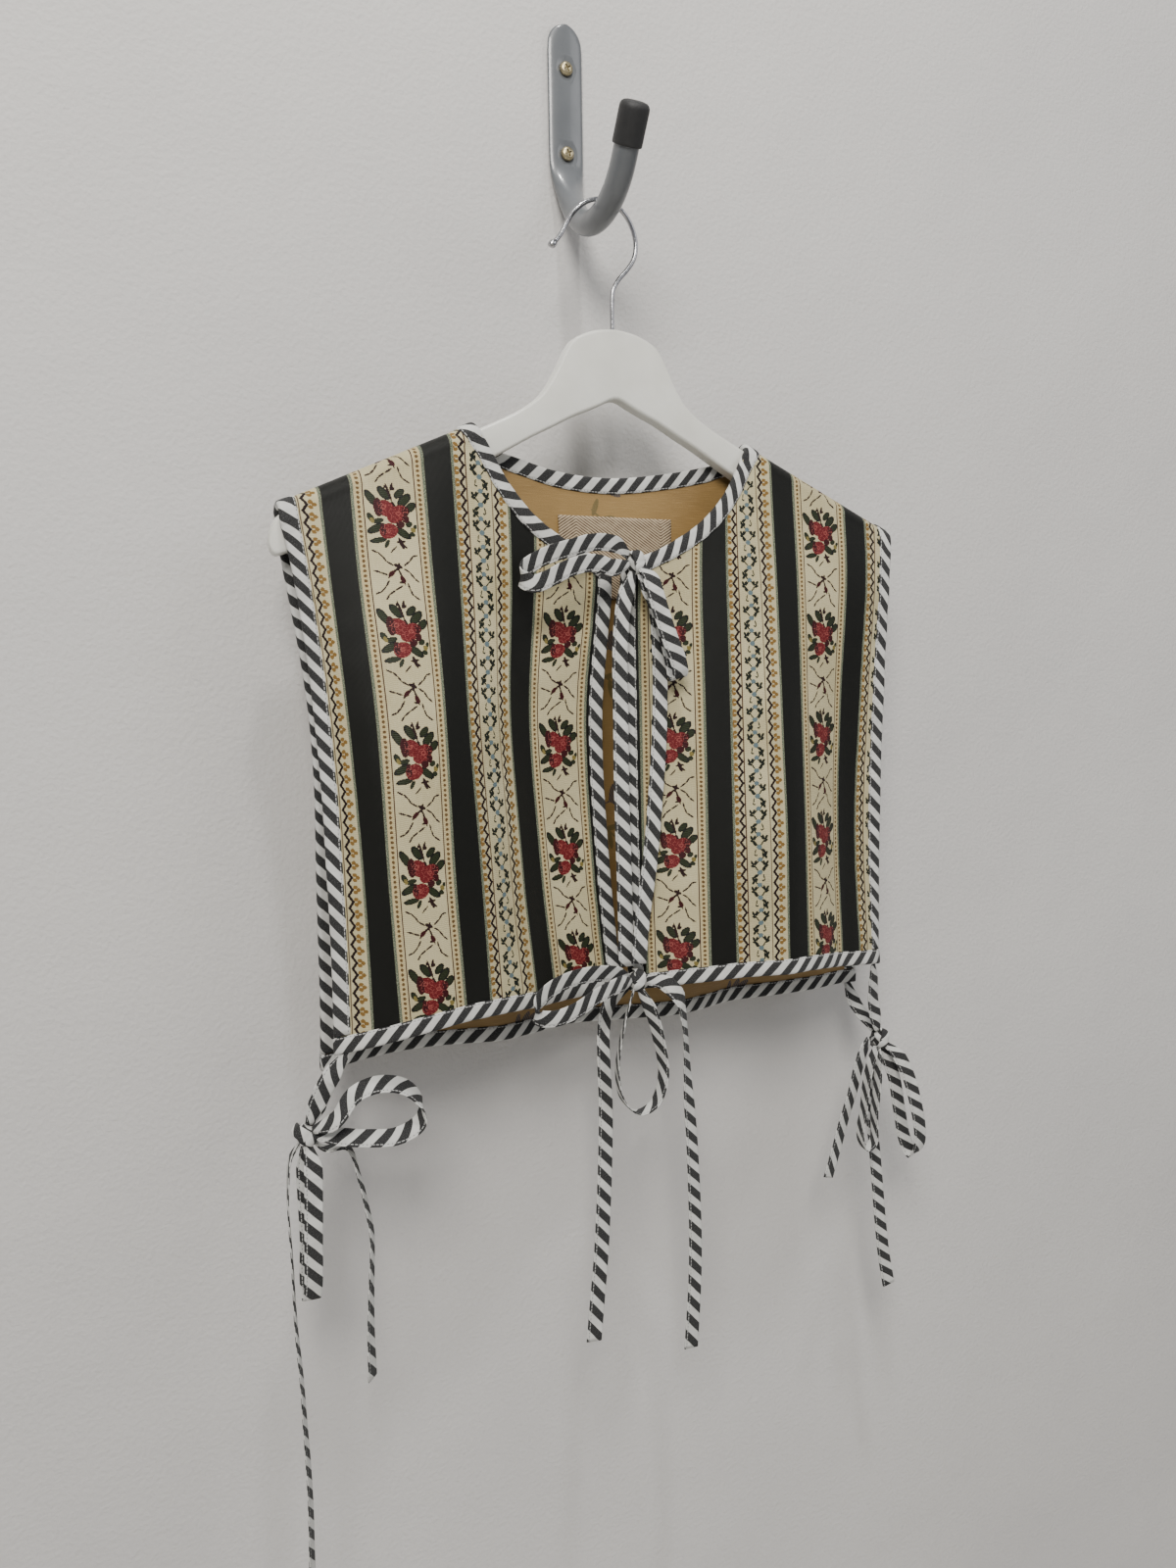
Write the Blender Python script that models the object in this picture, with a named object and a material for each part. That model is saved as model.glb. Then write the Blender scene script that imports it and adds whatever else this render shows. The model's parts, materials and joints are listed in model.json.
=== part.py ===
import math
import bpy
import bmesh
import numpy as np
from mathutils import Vector

MM = 0.001
CENTRE_X = 7.3          # middle of the garment, right of the wall hook
HANGER_Y = -55.0        # depth of the hanger's middle plane
CLOTH = 1.0             # wall of the brocade, the lining and the binding
SEAM = 0.3              # air left between sewn pieces
BINDING = 9.0           # cloth under each leg of the bias binding
BEND = 13.8             # cloth in a quarter turn over the hanger
RIDGE_R = BEND * 2 / math.pi
SHOULDER_TIP = (217.0, -275.5)
SHOULDER_NECK = (98.5, -222.5)
NECK_ACROSS = 118.5     # cloth from side edge to neck point
FRONT_ACROSS = 214.0
BACK_ACROSS = 434.0
TAPE = 11.0             # ribbon of the ties
TAPE_THICK = 1.1

# rows are fold lines, across is cloth from the side edge, x from the garment's middle, y from the wall
FRONT_RIGHT_FOLDS = """
across x_hem  x_low  x_mid  x_chest x_top  y_hem  y_low  y_mid y_chest y_top z_hem
0      -199   -199   -202   -211   -217    -78    -75    -70   -66   -63.8   -597
9      -191.5 -191.5 -195   -203.5 -208    -84    -80    -75   -68.5 -63.8   -594.5
23     -179.5 -181   -186   -192   -194    -92    -88    -83   -72   -63.8   -591
40     -165   -169.5 -173   -177   -177    -97    -97    -93   -76   -63.8   -587.5
62.5   -145   -150   -152.5 -154.5 -154.5  -99   -101    -99   -78   -63.8   -584
85     -124   -130   -133   -132   -132    -97   -100    -98   -77   -63.8   -582
102    -108   -113   -118   -115   -115    -93    -96    -93   -74   -63.8   -582
121.5  -89    -95    -100   -96    -95.5   -87    -87    -84   -70   -63     -583
141    -71    -79    -84    -78    -78     -80    -78    -74   -66   -63.5   -584.5
158    -56    -64    -69    -62    -62     -72    -70    -68   -64   -64     -585.5
180.5  -34    -43    -48    -40    -40     -65    -64    -64   -63   -63     -586
205    -13    -21    -24.5  -17    -17     -63    -62    -62   -63   -63     -586
214    -4.5   -12.5  -16    -8.5   -8.5    -63    -62    -62   -64   -64     -586
"""
FRONT_LEFT_FOLDS = """
across x_hem  x_low  x_mid  x_chest x_top  y_hem  y_low  y_mid y_chest y_top z_hem
0      202    203    207    213    217     -72    -71    -69   -67   -63.8   -590
9      194    194    198    204    208     -76    -71    -69   -68.5 -63.8   -588.5
23     180    180    185    190    194     -80    -73    -71   -71   -63.8   -587
40     163    163    168    173    177     -83    -77    -72   -72   -63.8   -585
62.5   143    142.5  146.5  150.5  154.5   -92    -87    -79   -74   -63.8   -582
85     122    122    125    128    132     -99    -95    -85   -76   -63.8   -580
102    105    106    108    111    115     -102   -98    -88   -77   -63.8   -579.5
121.5  86     86.5   89     92     95.5    -100   -96    -86.5 -76   -63     -579
141    67     67     70     73     78      -96    -92    -83   -74   -63.5   -579
158    51     51     53     56     62      -90    -87    -80   -71   -64     -580.5
180.5  30     30     31     34     40      -81    -78    -74   -67   -63     -582.5
205    10     8      8      10     16.5    -70.5  -69.5  -67.5 -63.5 -63     -584.5
214    1.5    0      -1     1      7       -67    -66    -65   -63   -64     -585
"""
BACK_FOLDS = """
across x_hem  x_low  x_mid  x_top  y_hem  y_low  y_mid  y_top  z_hem
0      -199   -198.5 -200   -217   -37    -41    -44    -46.2  -619
9      -190.5 -190   -192   -208   -34.5  -38.5  -42.5  -46.2  -619
43     -158   -158   -160   -174   -25    -30    -37    -46.2  -618
74     -127   -128   -130   -143   -27    -31    -36    -46.2  -617
109.5  -93    -94    -95.5  -107.5 -37.5  -37.5  -40    -46.2  -616
118.5  -84    -85.5  -87    -98.5  -39    -39    -41    -46.2  -616
148    -56    -58    -59    -69    -33    -36    -39    -46    -616
179    -28    -29    -30    -38    -25    -30    -36    -44    -616
217    7      6      5      0      -31    -33    -38    -43    -616
264    52     50     49     47     -41    -39    -40    -44    -616
289    75     73     72     72     -36    -37    -39    -46    -616
315.5  99     98     97     98.5   -28    -32    -37    -46.2  -616
324.5  107.5  105.5  105.5  107.5  -27    -31    -37    -46.2  -616
360    140    139    139    143    -33    -35    -39    -46.2  -615
391    169    168    168    174    -36    -38    -41    -46.2  -614
425    201    200    201    208    -34    -38    -42.5  -46.2  -613
434    209    208    209    217    -36    -40    -44    -46.2  -613
"""
NECKLINE = """
across  height
129.5   -241
136     -252
143.5   -262
158     -277
178     -290.5
196     -299
"""
NECK_CORNER = -304.0
NECK_TURN = ((13.8, 4.0), (9.2, 1.6), (4.6, 0.4), (0.0, 0.0))  # cloth below the seam, lean of the neckline
SIDE_ROWS = (0, 9, 45, 80, 115, 148, 178, 202)        # height above the hem on the side edge
SIDE_TOP_ROWS = (105, 91, 77, 64, 51, 38, 26)          # cloth below the seam, from the neck corner row up
FRONT_ROWS = (0, 9, 56, 102, 148, 194, 232, 258)      # height above the hem on the opening edge
BACK_NECK = """
across  height
118.5   0
148     -238.5
179     -245.5
217     -248
264     -242.5
289     -237.5
315.5   0
"""
BACK_ROWS = """
centre  side
-272    -308
-299    -330
-326    -354
-378    -398
-430    -444
-482    -490
-534    -538
-578    -578
"""


def table(text):
    lines = [line.split() for line in text.strip().splitlines()]
    columns = {name: np.array([float(row[i]) for row in lines[1:]]) for i, name in enumerate(lines[0])}
    return columns


def hermite(knots, values, at):
    """Smooth curve through a few values, the slopes taken from the neighbours."""
    knots = np.asarray(knots, float)
    values = np.asarray(values, float)
    steps = np.diff(values) / np.diff(knots)
    slopes = np.empty_like(values)
    slopes[0] = steps[0]
    slopes[-1] = steps[-1]
    slopes[1:-1] = (steps[:-1] + steps[1:]) / 2
    i = int(np.clip(np.searchsorted(knots, at) - 1, 0, len(knots) - 2))
    width = knots[i + 1] - knots[i]
    t = (at - knots[i]) / width
    if t < 0:
        return values[i] + slopes[i] * (at - knots[i])
    if t > 1:
        return values[i + 1] + slopes[i + 1] * (at - knots[i + 1])
    a = 2 * t ** 3 - 3 * t ** 2 + 1
    b = t ** 3 - 2 * t ** 2 + t
    c = -2 * t ** 3 + 3 * t ** 2
    d = t ** 3 - t ** 2
    return a * values[i] + b * width * slopes[i] + c * values[i + 1] + d * width * slopes[i + 1]


class Cloth:
    """One hanging panel, cut position and height in, place in the room out."""

    def __init__(self, folds, levels, side, across):
        self.folds = table(folds)
        self.names = levels
        self.side = side
        self.across = across

    def seam_height(self, s):
        near = min(s, self.across - s) if self.across == BACK_ACROSS else s
        run = SHOULDER_TIP[0] - SHOULDER_NECK[0]
        rise = SHOULDER_NECK[1] - SHOULDER_TIP[1]
        return SHOULDER_TIP[1] + rise * near / run

    def hem(self, s):
        return hermite(self.folds["across"], self.folds["z_hem"], s)

    def value(self, axis, s, h):
        heights = [self.hem(s), -500.0, -400.0]
        if "chest" in self.names:
            heights.append(-315.0)
        heights.append(min(self.seam_height(s), SHOULDER_NECK[1] + 8) + RIDGE_R * (math.pi / 2 - 1) - BEND)
        values = [hermite(self.folds["across"], self.folds[axis + "_" + name], s) for name in self.names]
        return hermite(heights, values, h)

    def at(self, s, h):
        ridge = self.seam_height(s)
        below = ridge + RIDGE_R * (math.pi / 2 - 1) - h
        if below >= BEND or (self.across == BACK_ACROSS and NECK_ACROSS + 1 < s < BACK_ACROSS - NECK_ACROSS - 1):
            x = self.value("x", s, h)
            y = self.value("y", s, h)
            return np.array([x + CENTRE_X, y, h])
        turn = below / RIDGE_R
        x = hermite(self.folds["across"], self.folds["x_top"], s)
        y = HANGER_Y + self.side * (SEAM / 2 + RIDGE_R * math.sin(turn))
        return np.array([x + CENTRE_X, y, ridge - RIDGE_R * (1 - math.cos(turn))])

    def normal(self, s, h):
        step = 0.6
        along = self.at(s + step, h) - self.at(s - step, h)
        up = self.at(s, h + step) - self.at(s, h - step)
        n = np.cross(along, up)
        n /= np.linalg.norm(n)
        return n


def front_grid(cloth):
    """Cut positions and heights of the grid, its last column along the opening and the neckline."""
    neck = table(NECKLINE)
    hem_across = table(FRONT_RIGHT_FOLDS)["across"]
    lift = RIDGE_R * (math.pi / 2 - 1)
    edge = [(FRONT_ACROSS, cloth.hem(FRONT_ACROSS) + up) for up in FRONT_ROWS]
    edge.append((FRONT_ACROSS, NECK_CORNER))
    inner = [(FRONT_ACROSS - BINDING, h) for s, h in edge[:-1]]
    inner.append((FRONT_ACROSS - BINDING, NECK_CORNER - BINDING))
    curve = list(zip(neck["across"], neck["height"]))[::-1]
    top = NECK_ACROSS + NECK_TURN[0][1]
    path = [(FRONT_ACROSS, NECK_CORNER)] + curve + [(top, cloth.seam_height(top) + lift - BEND)]
    for i in range(1, len(path) - 1):
        after = path[i + 1]
        before = path[i - 1]
        run = np.array([before[0] - after[0], before[1] - after[1]])
        run /= np.linalg.norm(run)
        edge.append(path[i])
        inner.append((path[i][0] + run[1] * BINDING, path[i][1] - run[0] * BINDING))
    for below, lean in NECK_TURN:
        s = NECK_ACROSS + lean
        edge.append((s, cloth.seam_height(s) + lift - below))
        inner.append((s - BINDING, cloth.seam_height(s - BINDING) + lift - below))
    rows = len(edge)
    left = [(0.0, cloth.hem(0) + up) for up in SIDE_ROWS]
    left += [(0.0, cloth.seam_height(0) + lift - down) for down in SIDE_TOP_ROWS]
    left += [(0.0, cloth.seam_height(0) + lift - turn[0]) for turn in NECK_TURN]
    grid = []
    for j in range(rows):
        row = [left[j], (BINDING, left[j][1])]
        if j >= rows - 4:
            down = cloth.seam_height(0) + lift - left[j][1]
            row[1] = (BINDING, cloth.seam_height(BINDING) + lift - down)
        span = hem_across[-2] - hem_across[1]
        for s in hem_across[2:-2]:
            f = (s - hem_across[1]) / span
            s2 = row[1][0] + (inner[j][0] - row[1][0]) * f
            h2 = row[1][1] + (inner[j][1] - row[1][1]) * f
            if j == 0:
                h2 = cloth.hem(s2)
            if j == 1:
                h2 = cloth.hem(s2) + BINDING
            if j >= rows - 4:
                h2 = cloth.seam_height(s2) + lift - down
            row.append((s2, h2))
        if j == 1:
            row[1] = (BINDING, cloth.hem(BINDING) + BINDING)
        if j == 0:
            row[1] = (BINDING, cloth.hem(BINDING))
        row.append(inner[j])
        row.append(edge[j])
        grid.append(row)
    return grid


def back_grid(cloth):
    """Cut positions and heights of the back, None above the neckline."""
    across = table(BACK_FOLDS)["across"]
    neck = table(BACK_NECK)
    rows = table(BACK_ROWS)
    lift = RIDGE_R * (math.pi / 2 - 1)
    grid = []
    centre = BACK_ACROSS / 2

    def neck_height(s):
        shoulder = cloth.seam_height(NECK_ACROSS) + lift - BEND
        if s <= NECK_ACROSS or s >= BACK_ACROSS - NECK_ACROSS:
            return cloth.seam_height(s) + lift - BEND
        heights = [shoulder] + list(neck["height"][1:-1]) + [shoulder]
        return float(np.interp(s, neck["across"], heights))

    grid.append([(s, cloth.hem(s)) for s in across])
    grid.append([(s, cloth.hem(s) + BINDING) for s in across])
    for middle, side in list(zip(rows["centre"], rows["side"]))[::-1]:
        row = []
        for s in across:
            out = max(0.0, abs(s - centre) - (centre - NECK_ACROSS)) / NECK_ACROSS
            row.append((s, middle + (side - middle) * out))
        grid.append(row)
    grid.append([(s, neck_height(s) - BINDING) for s in across])
    grid.append([(s, neck_height(s)) for s in across])
    for below, lean in NECK_TURN[1:]:
        row = []
        for s in across:
            inside = NECK_ACROSS + 1 < s < BACK_ACROSS - NECK_ACROSS - 1
            row.append(None if inside else (s, cloth.seam_height(s) + lift - below))
        grid.append(row)
    return grid


def place(cloth, grid):
    """Points and outward normals of every grid corner."""
    points = []
    normals = []
    for row in grid:
        points.append([None if g is None else cloth.at(*g) for g in row])
        normals.append([None if g is None else cloth.normal(*g) * cloth.sign for g in row])
    return points, normals


def solid(name, verts, faces, colour, rough=0.8, metal=0.0):
    """One closed mesh object in metres with its own material."""
    bm = bmesh.new()
    corners = [bm.verts.new(Vector([c * MM for c in v])) for v in verts]
    for face in faces:
        bm.faces.new([corners[i] for i in face])
    bmesh.ops.recalc_face_normals(bm, faces=bm.faces[:])
    mesh = bpy.data.meshes.new(name)
    bm.to_mesh(mesh)
    bm.free()
    return finish(name, mesh, colour, rough, metal)


def finish(name, mesh, colour, rough, metal):
    obj = bpy.data.objects.new(name, mesh)
    bpy.context.scene.collection.objects.link(obj)
    material = bpy.data.materials.new(name + "_material")
    material.use_nodes = True
    shader = material.node_tree.nodes["Principled BSDF"]
    shader.inputs["Base Color"].default_value = (*colour, 1)
    shader.inputs["Roughness"].default_value = rough
    shader.inputs["Metallic"].default_value = metal
    mesh.materials.append(material)
    return obj


def layer(name, points, normals, near, far, colour, cells=None):
    """A panel's wall between two offsets from its middle surface."""
    rows = len(points)
    cols = len(points[0])
    top = {}
    low = {}
    verts = []
    for j in range(rows):
        for i in range(cols):
            if points[j][i] is None:
                continue
            if cells is not None and not any((j - a, i - b) in cells for a in (0, 1) for b in (0, 1)):
                continue
            top[j, i] = len(verts)
            verts.append(points[j][i] + normals[j][i] * far)
            low[j, i] = len(verts)
            verts.append(points[j][i] + normals[j][i] * near)
    faces = []
    edges = {}
    for j in range(rows - 1):
        for i in range(cols - 1):
            ring = [(j, i), (j, i + 1), (j + 1, i + 1), (j + 1, i)]
            if cells is not None and (j, i) not in cells:
                continue
            if any(c not in top for c in ring):
                continue
            faces.append([top[ring[0]], top[ring[1]], top[ring[2]]])
            faces.append([top[ring[0]], top[ring[2]], top[ring[3]]])
            faces.append([low[ring[0]], low[ring[2]], low[ring[1]]])
            faces.append([low[ring[0]], low[ring[3]], low[ring[2]]])
            for a, b in zip(ring, ring[1:] + ring[:1]):
                edges[(a, b)] = edges.get((a, b), 0) + 1
    for a, b in edges:
        if (b, a) not in edges:
            faces.append([top[a], low[a], low[b], top[b]])
    return solid(name, verts, faces, colour)


def binding(name, stations, colour, inner_gap=SEAM):
    """A folded tape over an edge, each station the panel's corners at its edge and at its leg."""
    verts = []
    outer = inner_gap + CLOTH
    half = SEAM / 2 + CLOTH
    for edge, edge_n, leg, leg_n, out, shift, way in stations:
        edge = edge + shift
        leg = leg + shift
        nose = edge + out * outer
        verts += [leg + leg_n * (half + outer), edge + edge_n * (half + outer), nose + edge_n * (half * 0.7),
                  nose - edge_n * (half * 0.7), edge - edge_n * (half + outer), leg - leg_n * (half + outer),
                  leg - leg_n * (half + inner_gap), edge - edge_n * (half + inner_gap) + out * inner_gap,
                  edge + edge_n * (half + inner_gap) + out * inner_gap, leg + leg_n * (half + inner_gap)]
    count = 10
    faces = []
    for k in range(len(stations) - 1):
        for c in range(count):
            d = (c + 1) % count
            a = k * count
            b = a + count
            if (c in (0, 6) and stations[k][6]) or (c in (4, 8) and not stations[k][6]):
                faces.append([a + c, a + d, b + c])
                faces.append([a + d, b + d, b + c])
            else:
                faces.append([a + c, a + d, b + d])
                faces.append([a + c, b + d, b + c])
    for a in (0, (len(stations) - 1) * count):
        faces += [[a, a + 1, a + 8, a + 9], [a + 1, a + 2, a + 3, a + 4, a + 7, a + 8], [a + 4, a + 5, a + 6, a + 7]]
    return solid(name, verts, faces, colour)


def stations(points, normals, cells, shifts=None):
    """Binding stations from pairs of grid corners, edge first."""
    result = []
    for k, (edge, leg) in enumerate(cells):
        across = cells[min(k + 1, len(cells) - 1)][1]
        same = (across[0] - edge[0]) * (across[1] - edge[1]) > 0
        e = points[edge[0]][edge[1]]
        l = points[leg[0]][leg[1]]
        n = normals[edge[0]][edge[1]]
        out = e - l
        out -= n * out.dot(n)
        out /= np.linalg.norm(out)
        shift = np.zeros(3)
        result.append([e, n, l, normals[leg[0]][leg[1]], out, shift, same])
    for end, other in ((0, 1), (-1, -2)):
        way = result[other][0] - result[end][0]
        result[end][5] = way / np.linalg.norm(way) * (shifts[end] if shifts else 0.0)
    return result


def tube(name, rows, colour, rough, metal, sides=12, across=(1, 0, 0)):
    """A round or oval bar along rows of x y z half-width half-depth."""
    verts = []
    centres = [np.array(r[:3], float) for r in rows]
    for k, row in enumerate(rows):
        ahead = centres[min(k + 1, len(rows) - 1)] - centres[max(k - 1, 0)]
        ahead /= np.linalg.norm(ahead)
        wide = np.array(across, float)
        wide -= ahead * wide.dot(ahead)
        wide /= np.linalg.norm(wide)
        deep = np.cross(ahead, wide)
        for i in range(sides):
            a = 2 * math.pi * (i + 0.5) / sides
            verts.append(centres[k] + wide * row[3] * math.cos(a) + deep * row[4] * math.sin(a))
    faces = []
    for k in range(len(rows) - 1):
        for i in range(sides):
            n = (i + 1) % sides
            faces.append([k * sides + i, k * sides + n, (k + 1) * sides + n, (k + 1) * sides + i])
    faces.append(list(range(sides)))
    faces.append(list(range((len(rows) - 1) * sides, len(rows) * sides)))
    return solid(name, verts, faces, colour, rough, metal)


def knot(name, centre, size):
    bm = bmesh.new()
    bmesh.ops.create_icosphere(bm, subdivisions=2, radius=MM)
    for v in bm.verts:
        v.co = Vector([v.co[i] * size[i] + centre[i] * MM for i in range(3)])
    mesh = bpy.data.meshes.new(name)
    bm.to_mesh(mesh)
    bm.free()
    return finish(name, mesh, (0.45, 0.45, 0.45), 0.8, 0.0)


def clear_scene():
    for obj in list(bpy.data.objects):
        bpy.data.objects.remove(obj, do_unlink=True)


BROCADE = (0.36, 0.33, 0.24)
LINING = (0.38, 0.22, 0.09)
TICKING = (0.45, 0.45, 0.45)
RIGHT = Cloth(FRONT_RIGHT_FOLDS, ("hem", "low", "mid", "chest", "top"), -1, FRONT_ACROSS)
LEFT = Cloth(FRONT_LEFT_FOLDS, ("hem", "low", "mid", "chest", "top"), -1, FRONT_ACROSS)
BACK = Cloth(BACK_FOLDS, ("hem", "low", "mid", "top"), 1, BACK_ACROSS)
RIGHT.sign = 1
LEFT.sign = -1
BACK.sign = -1


def front(cloth, side):
    """One front: brocade, lining and its own three bindings. Returns its neckline stations."""
    grid = front_grid(cloth)
    points, normals = place(cloth, grid)
    rows = len(grid)
    last = len(grid[0]) - 1
    corner = len(FRONT_ROWS)
    layer("front_" + side, points, normals, SEAM / 2, SEAM / 2 + CLOTH, BROCADE)
    layer("front_lining_" + side, points, normals, -SEAM / 2, -SEAM / 2 - CLOTH, LINING)
    over = SEAM + CLOTH
    hem = stations(points, normals, [((0, i), (1, i)) for i in range(last + 1)], (-over, -over))
    binding("front_hem_binding_" + side, hem, TICKING)
    edge = stations(points, normals, [((j, 0), (j, 1)) for j in range(1, rows)], (0.7, 0.0))
    binding("front_side_binding_" + side, edge, TICKING)
    edge = stations(points, normals, [((j, last), (j, last - 1)) for j in range(1, corner + 1)], (0.7, 0.5))
    edge[-1][4] = edge[-1][4] * 1.3
    binding("opening_binding_" + side, edge, TICKING)
    neck = stations(points, normals, [((j, last), (j, last - 1)) for j in range(corner, rows)], (0.2, 0.0))
    neck[0][4] = neck[0][4] * 1.3
    return neck


def back():
    """The back: brocade, lining, hem and side bindings. Returns its neckline stations and its grid."""
    grid = back_grid(BACK)
    points, normals = place(BACK, grid)
    rows = len(grid)
    last = len(grid[0]) - 1
    cells = set()
    for j in range(rows - 1):
        for i in range(last):
            if grid[j + 1][i] is not None and grid[j + 1][i + 1] is not None:
                cells.add((j, i))
    layer("back", points, normals, SEAM / 2, SEAM / 2 + CLOTH, BROCADE, cells)
    layer("back_lining", points, normals, -SEAM / 2, -SEAM / 2 - CLOTH, LINING, cells)
    over = SEAM + CLOTH
    hem = stations(points, normals, [((0, i), (1, i)) for i in range(last + 1)], (-over, -over))
    binding("back_hem_binding", hem, TICKING)
    edge = stations(points, normals, [((j, 0), (j, 1)) for j in range(1, rows)], (0.7, 0.0))
    binding("back_side_binding_right", edge, TICKING)
    edge = stations(points, normals, [((j, last), (j, last - 1)) for j in range(1, rows)], (0.7, 0.0))
    binding("back_side_binding_left", edge, TICKING)
    top = rows - 4
    first = [i for i in range(last) if grid[rows - 1][i + 1] is None][0]
    final = [i for i in range(first + 1, last + 1) if grid[rows - 1][i] is not None][0]
    pairs = [((top + 2, first), (top + 2, first - 1)), ((top + 1, first), (top + 1, first - 1)),
             ((top, first), (top, first - 1)), ((top, first), (top - 1, first - 1)), ((top, first), (top - 1, first))]
    pairs += [((top, i), (top - 1, i)) for i in range(first + 1, final)]
    pairs += [((top, final), (top - 1, final)), ((top, final), (top - 1, final + 1)), ((top, final), (top, final + 1)),
              ((top + 1, final), (top + 1, final + 1)), ((top + 2, final), (top + 2, final + 1))]
    neck = stations(points, normals, pairs)
    for k, at, sideways in ((2, first, first + 1), (len(pairs) - 3, final, final - 1)):
        neck[k][0] = points[top][at] * 0.55 + points[top + 1][at] * 0.45
        beyond = k + 2 if k == 2 else k - 2
        neck[beyond][0] = points[top][at] * 0.75 + points[top][sideways] * 0.25
        mitre = k + 1 if k == 2 else k - 1
        neck[mitre][4] = neck[mitre][4] * 1.35
    label(points, normals, rows)
    return neck


def label(points, normals, rows):
    """A blank woven tape on the back lining, on the lining's own corners."""
    row_names = table(BACK_ROWS)
    low = 1 + len(row_names["centre"]) - 2
    columns = list(table(BACK_FOLDS)["across"])
    a = columns.index(179.0)
    b = columns.index(264.0)
    inside = [row[a:b + 1] for row in points[low:low + 3]]
    ways = [row[a:b + 1] for row in normals[low:low + 3]]
    depth = -SEAM / 2 - CLOTH - SEAM
    layer("label", inside, ways, depth, depth - CLOTH, (0.5, 0.43, 0.32))


HANGER = """
out    top     bottom
0      -155.2  -199.5
12     -156.6  -204.4
22     -159.8  -208.8
30     -164.5  -212.1
35     -172    -214.7
39.5   -181    -217
44.5   -190    -219.7
52     -200    -223.4
62     -207.8  -228.6
75     -215.2  -235.9
90     -222.4  -244.1
98.5   -226.4  -248.6
120    -236    -259
150    -249.4  -272.4
180    -262.8  -287
205    -274    -299
214    -279    -303.5
219.5  -284    -305
222    -289    -303.5
223.4  -294    -300
"""
HANGER_HALF = 5.6


def hanger():
    rows = table(HANGER)
    spots = [(-o, t, b) for o, t, b in zip(rows["out"], rows["top"], rows["bottom"])][:0:-1]
    spots += list(zip(rows["out"], rows["top"], rows["bottom"]))
    verts = []
    for x, top, low in spots:
        near = abs(x) / 223.4
        half = HANGER_HALF * (1.0 if near < 0.97 else 1.0 - 0.35 * ((near - 0.97) / 0.03) ** 2)
        r = min(half, (top - low) / 2)
        for angle in (0, 30, 60, 90, 120, 150, 180):
            a = math.radians(angle)
            verts.append((x + CENTRE_X, HANGER_Y - half * math.cos(a), top - r + r * math.sin(a)))
        for side in (1, -1):
            verts.append((x + CENTRE_X, HANGER_Y + side * half, low + min(2.0, r * 0.6)))
            verts.append((x + CENTRE_X, HANGER_Y + side * half * 0.65, low))
        verts[-1], verts[-2] = verts[-2], verts[-1]
    count = 11
    faces = []
    for k in range(len(spots) - 1):
        for c in range(count):
            d = (c + 1) % count
            faces.append([k * count + c, k * count + d, (k + 1) * count + d, (k + 1) * count + c])
    faces.append(list(range(count)))
    faces.append([(len(spots) - 1) * count + c for c in range(count)])
    return solid("hanger", verts, faces, (0.6, 0.59, 0.55), 0.5)


def drill(obj, centre, radius, length, axis, sides=14):
    """A straight round hole, cut and left as mesh."""
    bm = bmesh.new()
    bmesh.ops.create_cone(bm, cap_ends=True, segments=sides, radius1=radius * MM, radius2=radius * MM,
                          depth=length * MM)
    turn = Vector((0, 0, 1)).rotation_difference(Vector(axis)).to_matrix()
    for v in bm.verts:
        v.co = turn @ v.co + Vector([c * MM for c in centre])
    subtract(obj, bm)


def subtract(obj, bm):
    mesh = bpy.data.meshes.new("cutter")
    bmesh.ops.recalc_face_normals(bm, faces=bm.faces[:])
    bm.to_mesh(mesh)
    bm.free()
    cutter = bpy.data.objects.new("cutter", mesh)
    bpy.context.scene.collection.objects.link(cutter)
    modifier = obj.modifiers.new("cut", "BOOLEAN")
    modifier.operation = "DIFFERENCE"
    modifier.solver = "EXACT"
    modifier.object = cutter
    shown = obj.evaluated_get(bpy.context.evaluated_depsgraph_get())
    done = bpy.data.meshes.new_from_object(shown)
    obj.modifiers.clear()
    material = obj.data.materials[0]
    obj.data = done
    done.materials.clear()
    done.materials.append(material)
    bpy.data.objects.remove(cutter, do_unlink=True)


WIRE = """
x      z       r
-35.2  -108.2  0.9
-34.9  -107.6  2.3
-33.9  -106.4  2.6
-32.6  -105.2  2.3
-31.4  -103.9  1.5
-27.9  -99.5   1.5
-24.7  -93.5   1.5
-19.5  -85.6   1.5
-12.5  -79     1.5
-5     -75.2   1.5
3      -74.3   1.5
11.5   -77     1.5
18.5   -82.8   1.5
23.2   -91     1.5
25     -100    1.5
23.5   -108    1.5
18.6   -115.6  1.5
12     -123    1.5
8.2    -129.5  1.5
7.3    -137    1.5
7.3    -150    1.5
7.3    -178    1.5
"""


def wire():
    rows = table(WIRE)
    tube("hanger_wire", [(x, HANGER_Y, z, r, r) for x, z, r in zip(rows["x"], rows["z"], rows["r"])],
         (0.6, 0.6, 0.6), 0.15, 1.0, sides=10, across=(0, 1, 0))


HOOK = """
y      z      wide  deep
-2.6   55.5   3.2   2.4
-2.6   54.6   5.6   2.5
-2.6   52.4   8.4   2.6
-2.6   49     10.7  2.6
-2.6   44     12.2  2.6
-2.6   36     12.5  2.6
-2.6   18     12.5  2.6
-2.6   0      12.5  2.6
-2.6   -18    12.5  2.6
-2.7   -31    12.4  2.6
-3.2   -38    12.0  3.1
-4.9   -46    10.9  4.5
-7.8   -54.5  9.5   6.2
-12.2  -63    8.6   7.5
-19    -71.8  8.0   8.0
-28    -79    8.0   8.0
-38    -83.4  8.0   8.0
-48    -84.9  8.0   8.0
-57.5  -84.2  8.0   8.0
-66    -81.9  8.0   8.0
-73.5  -78.2  8.0   8.0
-80.2  -73.2  8.0   8.0
-85.8  -67.3  8.0   8.0
-90.4  -60.6  8.0   8.0
-98.4  -47.8  8.0   8.0
-101   -43.6  8.0   8.0
"""
SCREW_Z = 27.2
CAP_START = np.array([-93.0, -56.4])
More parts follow.
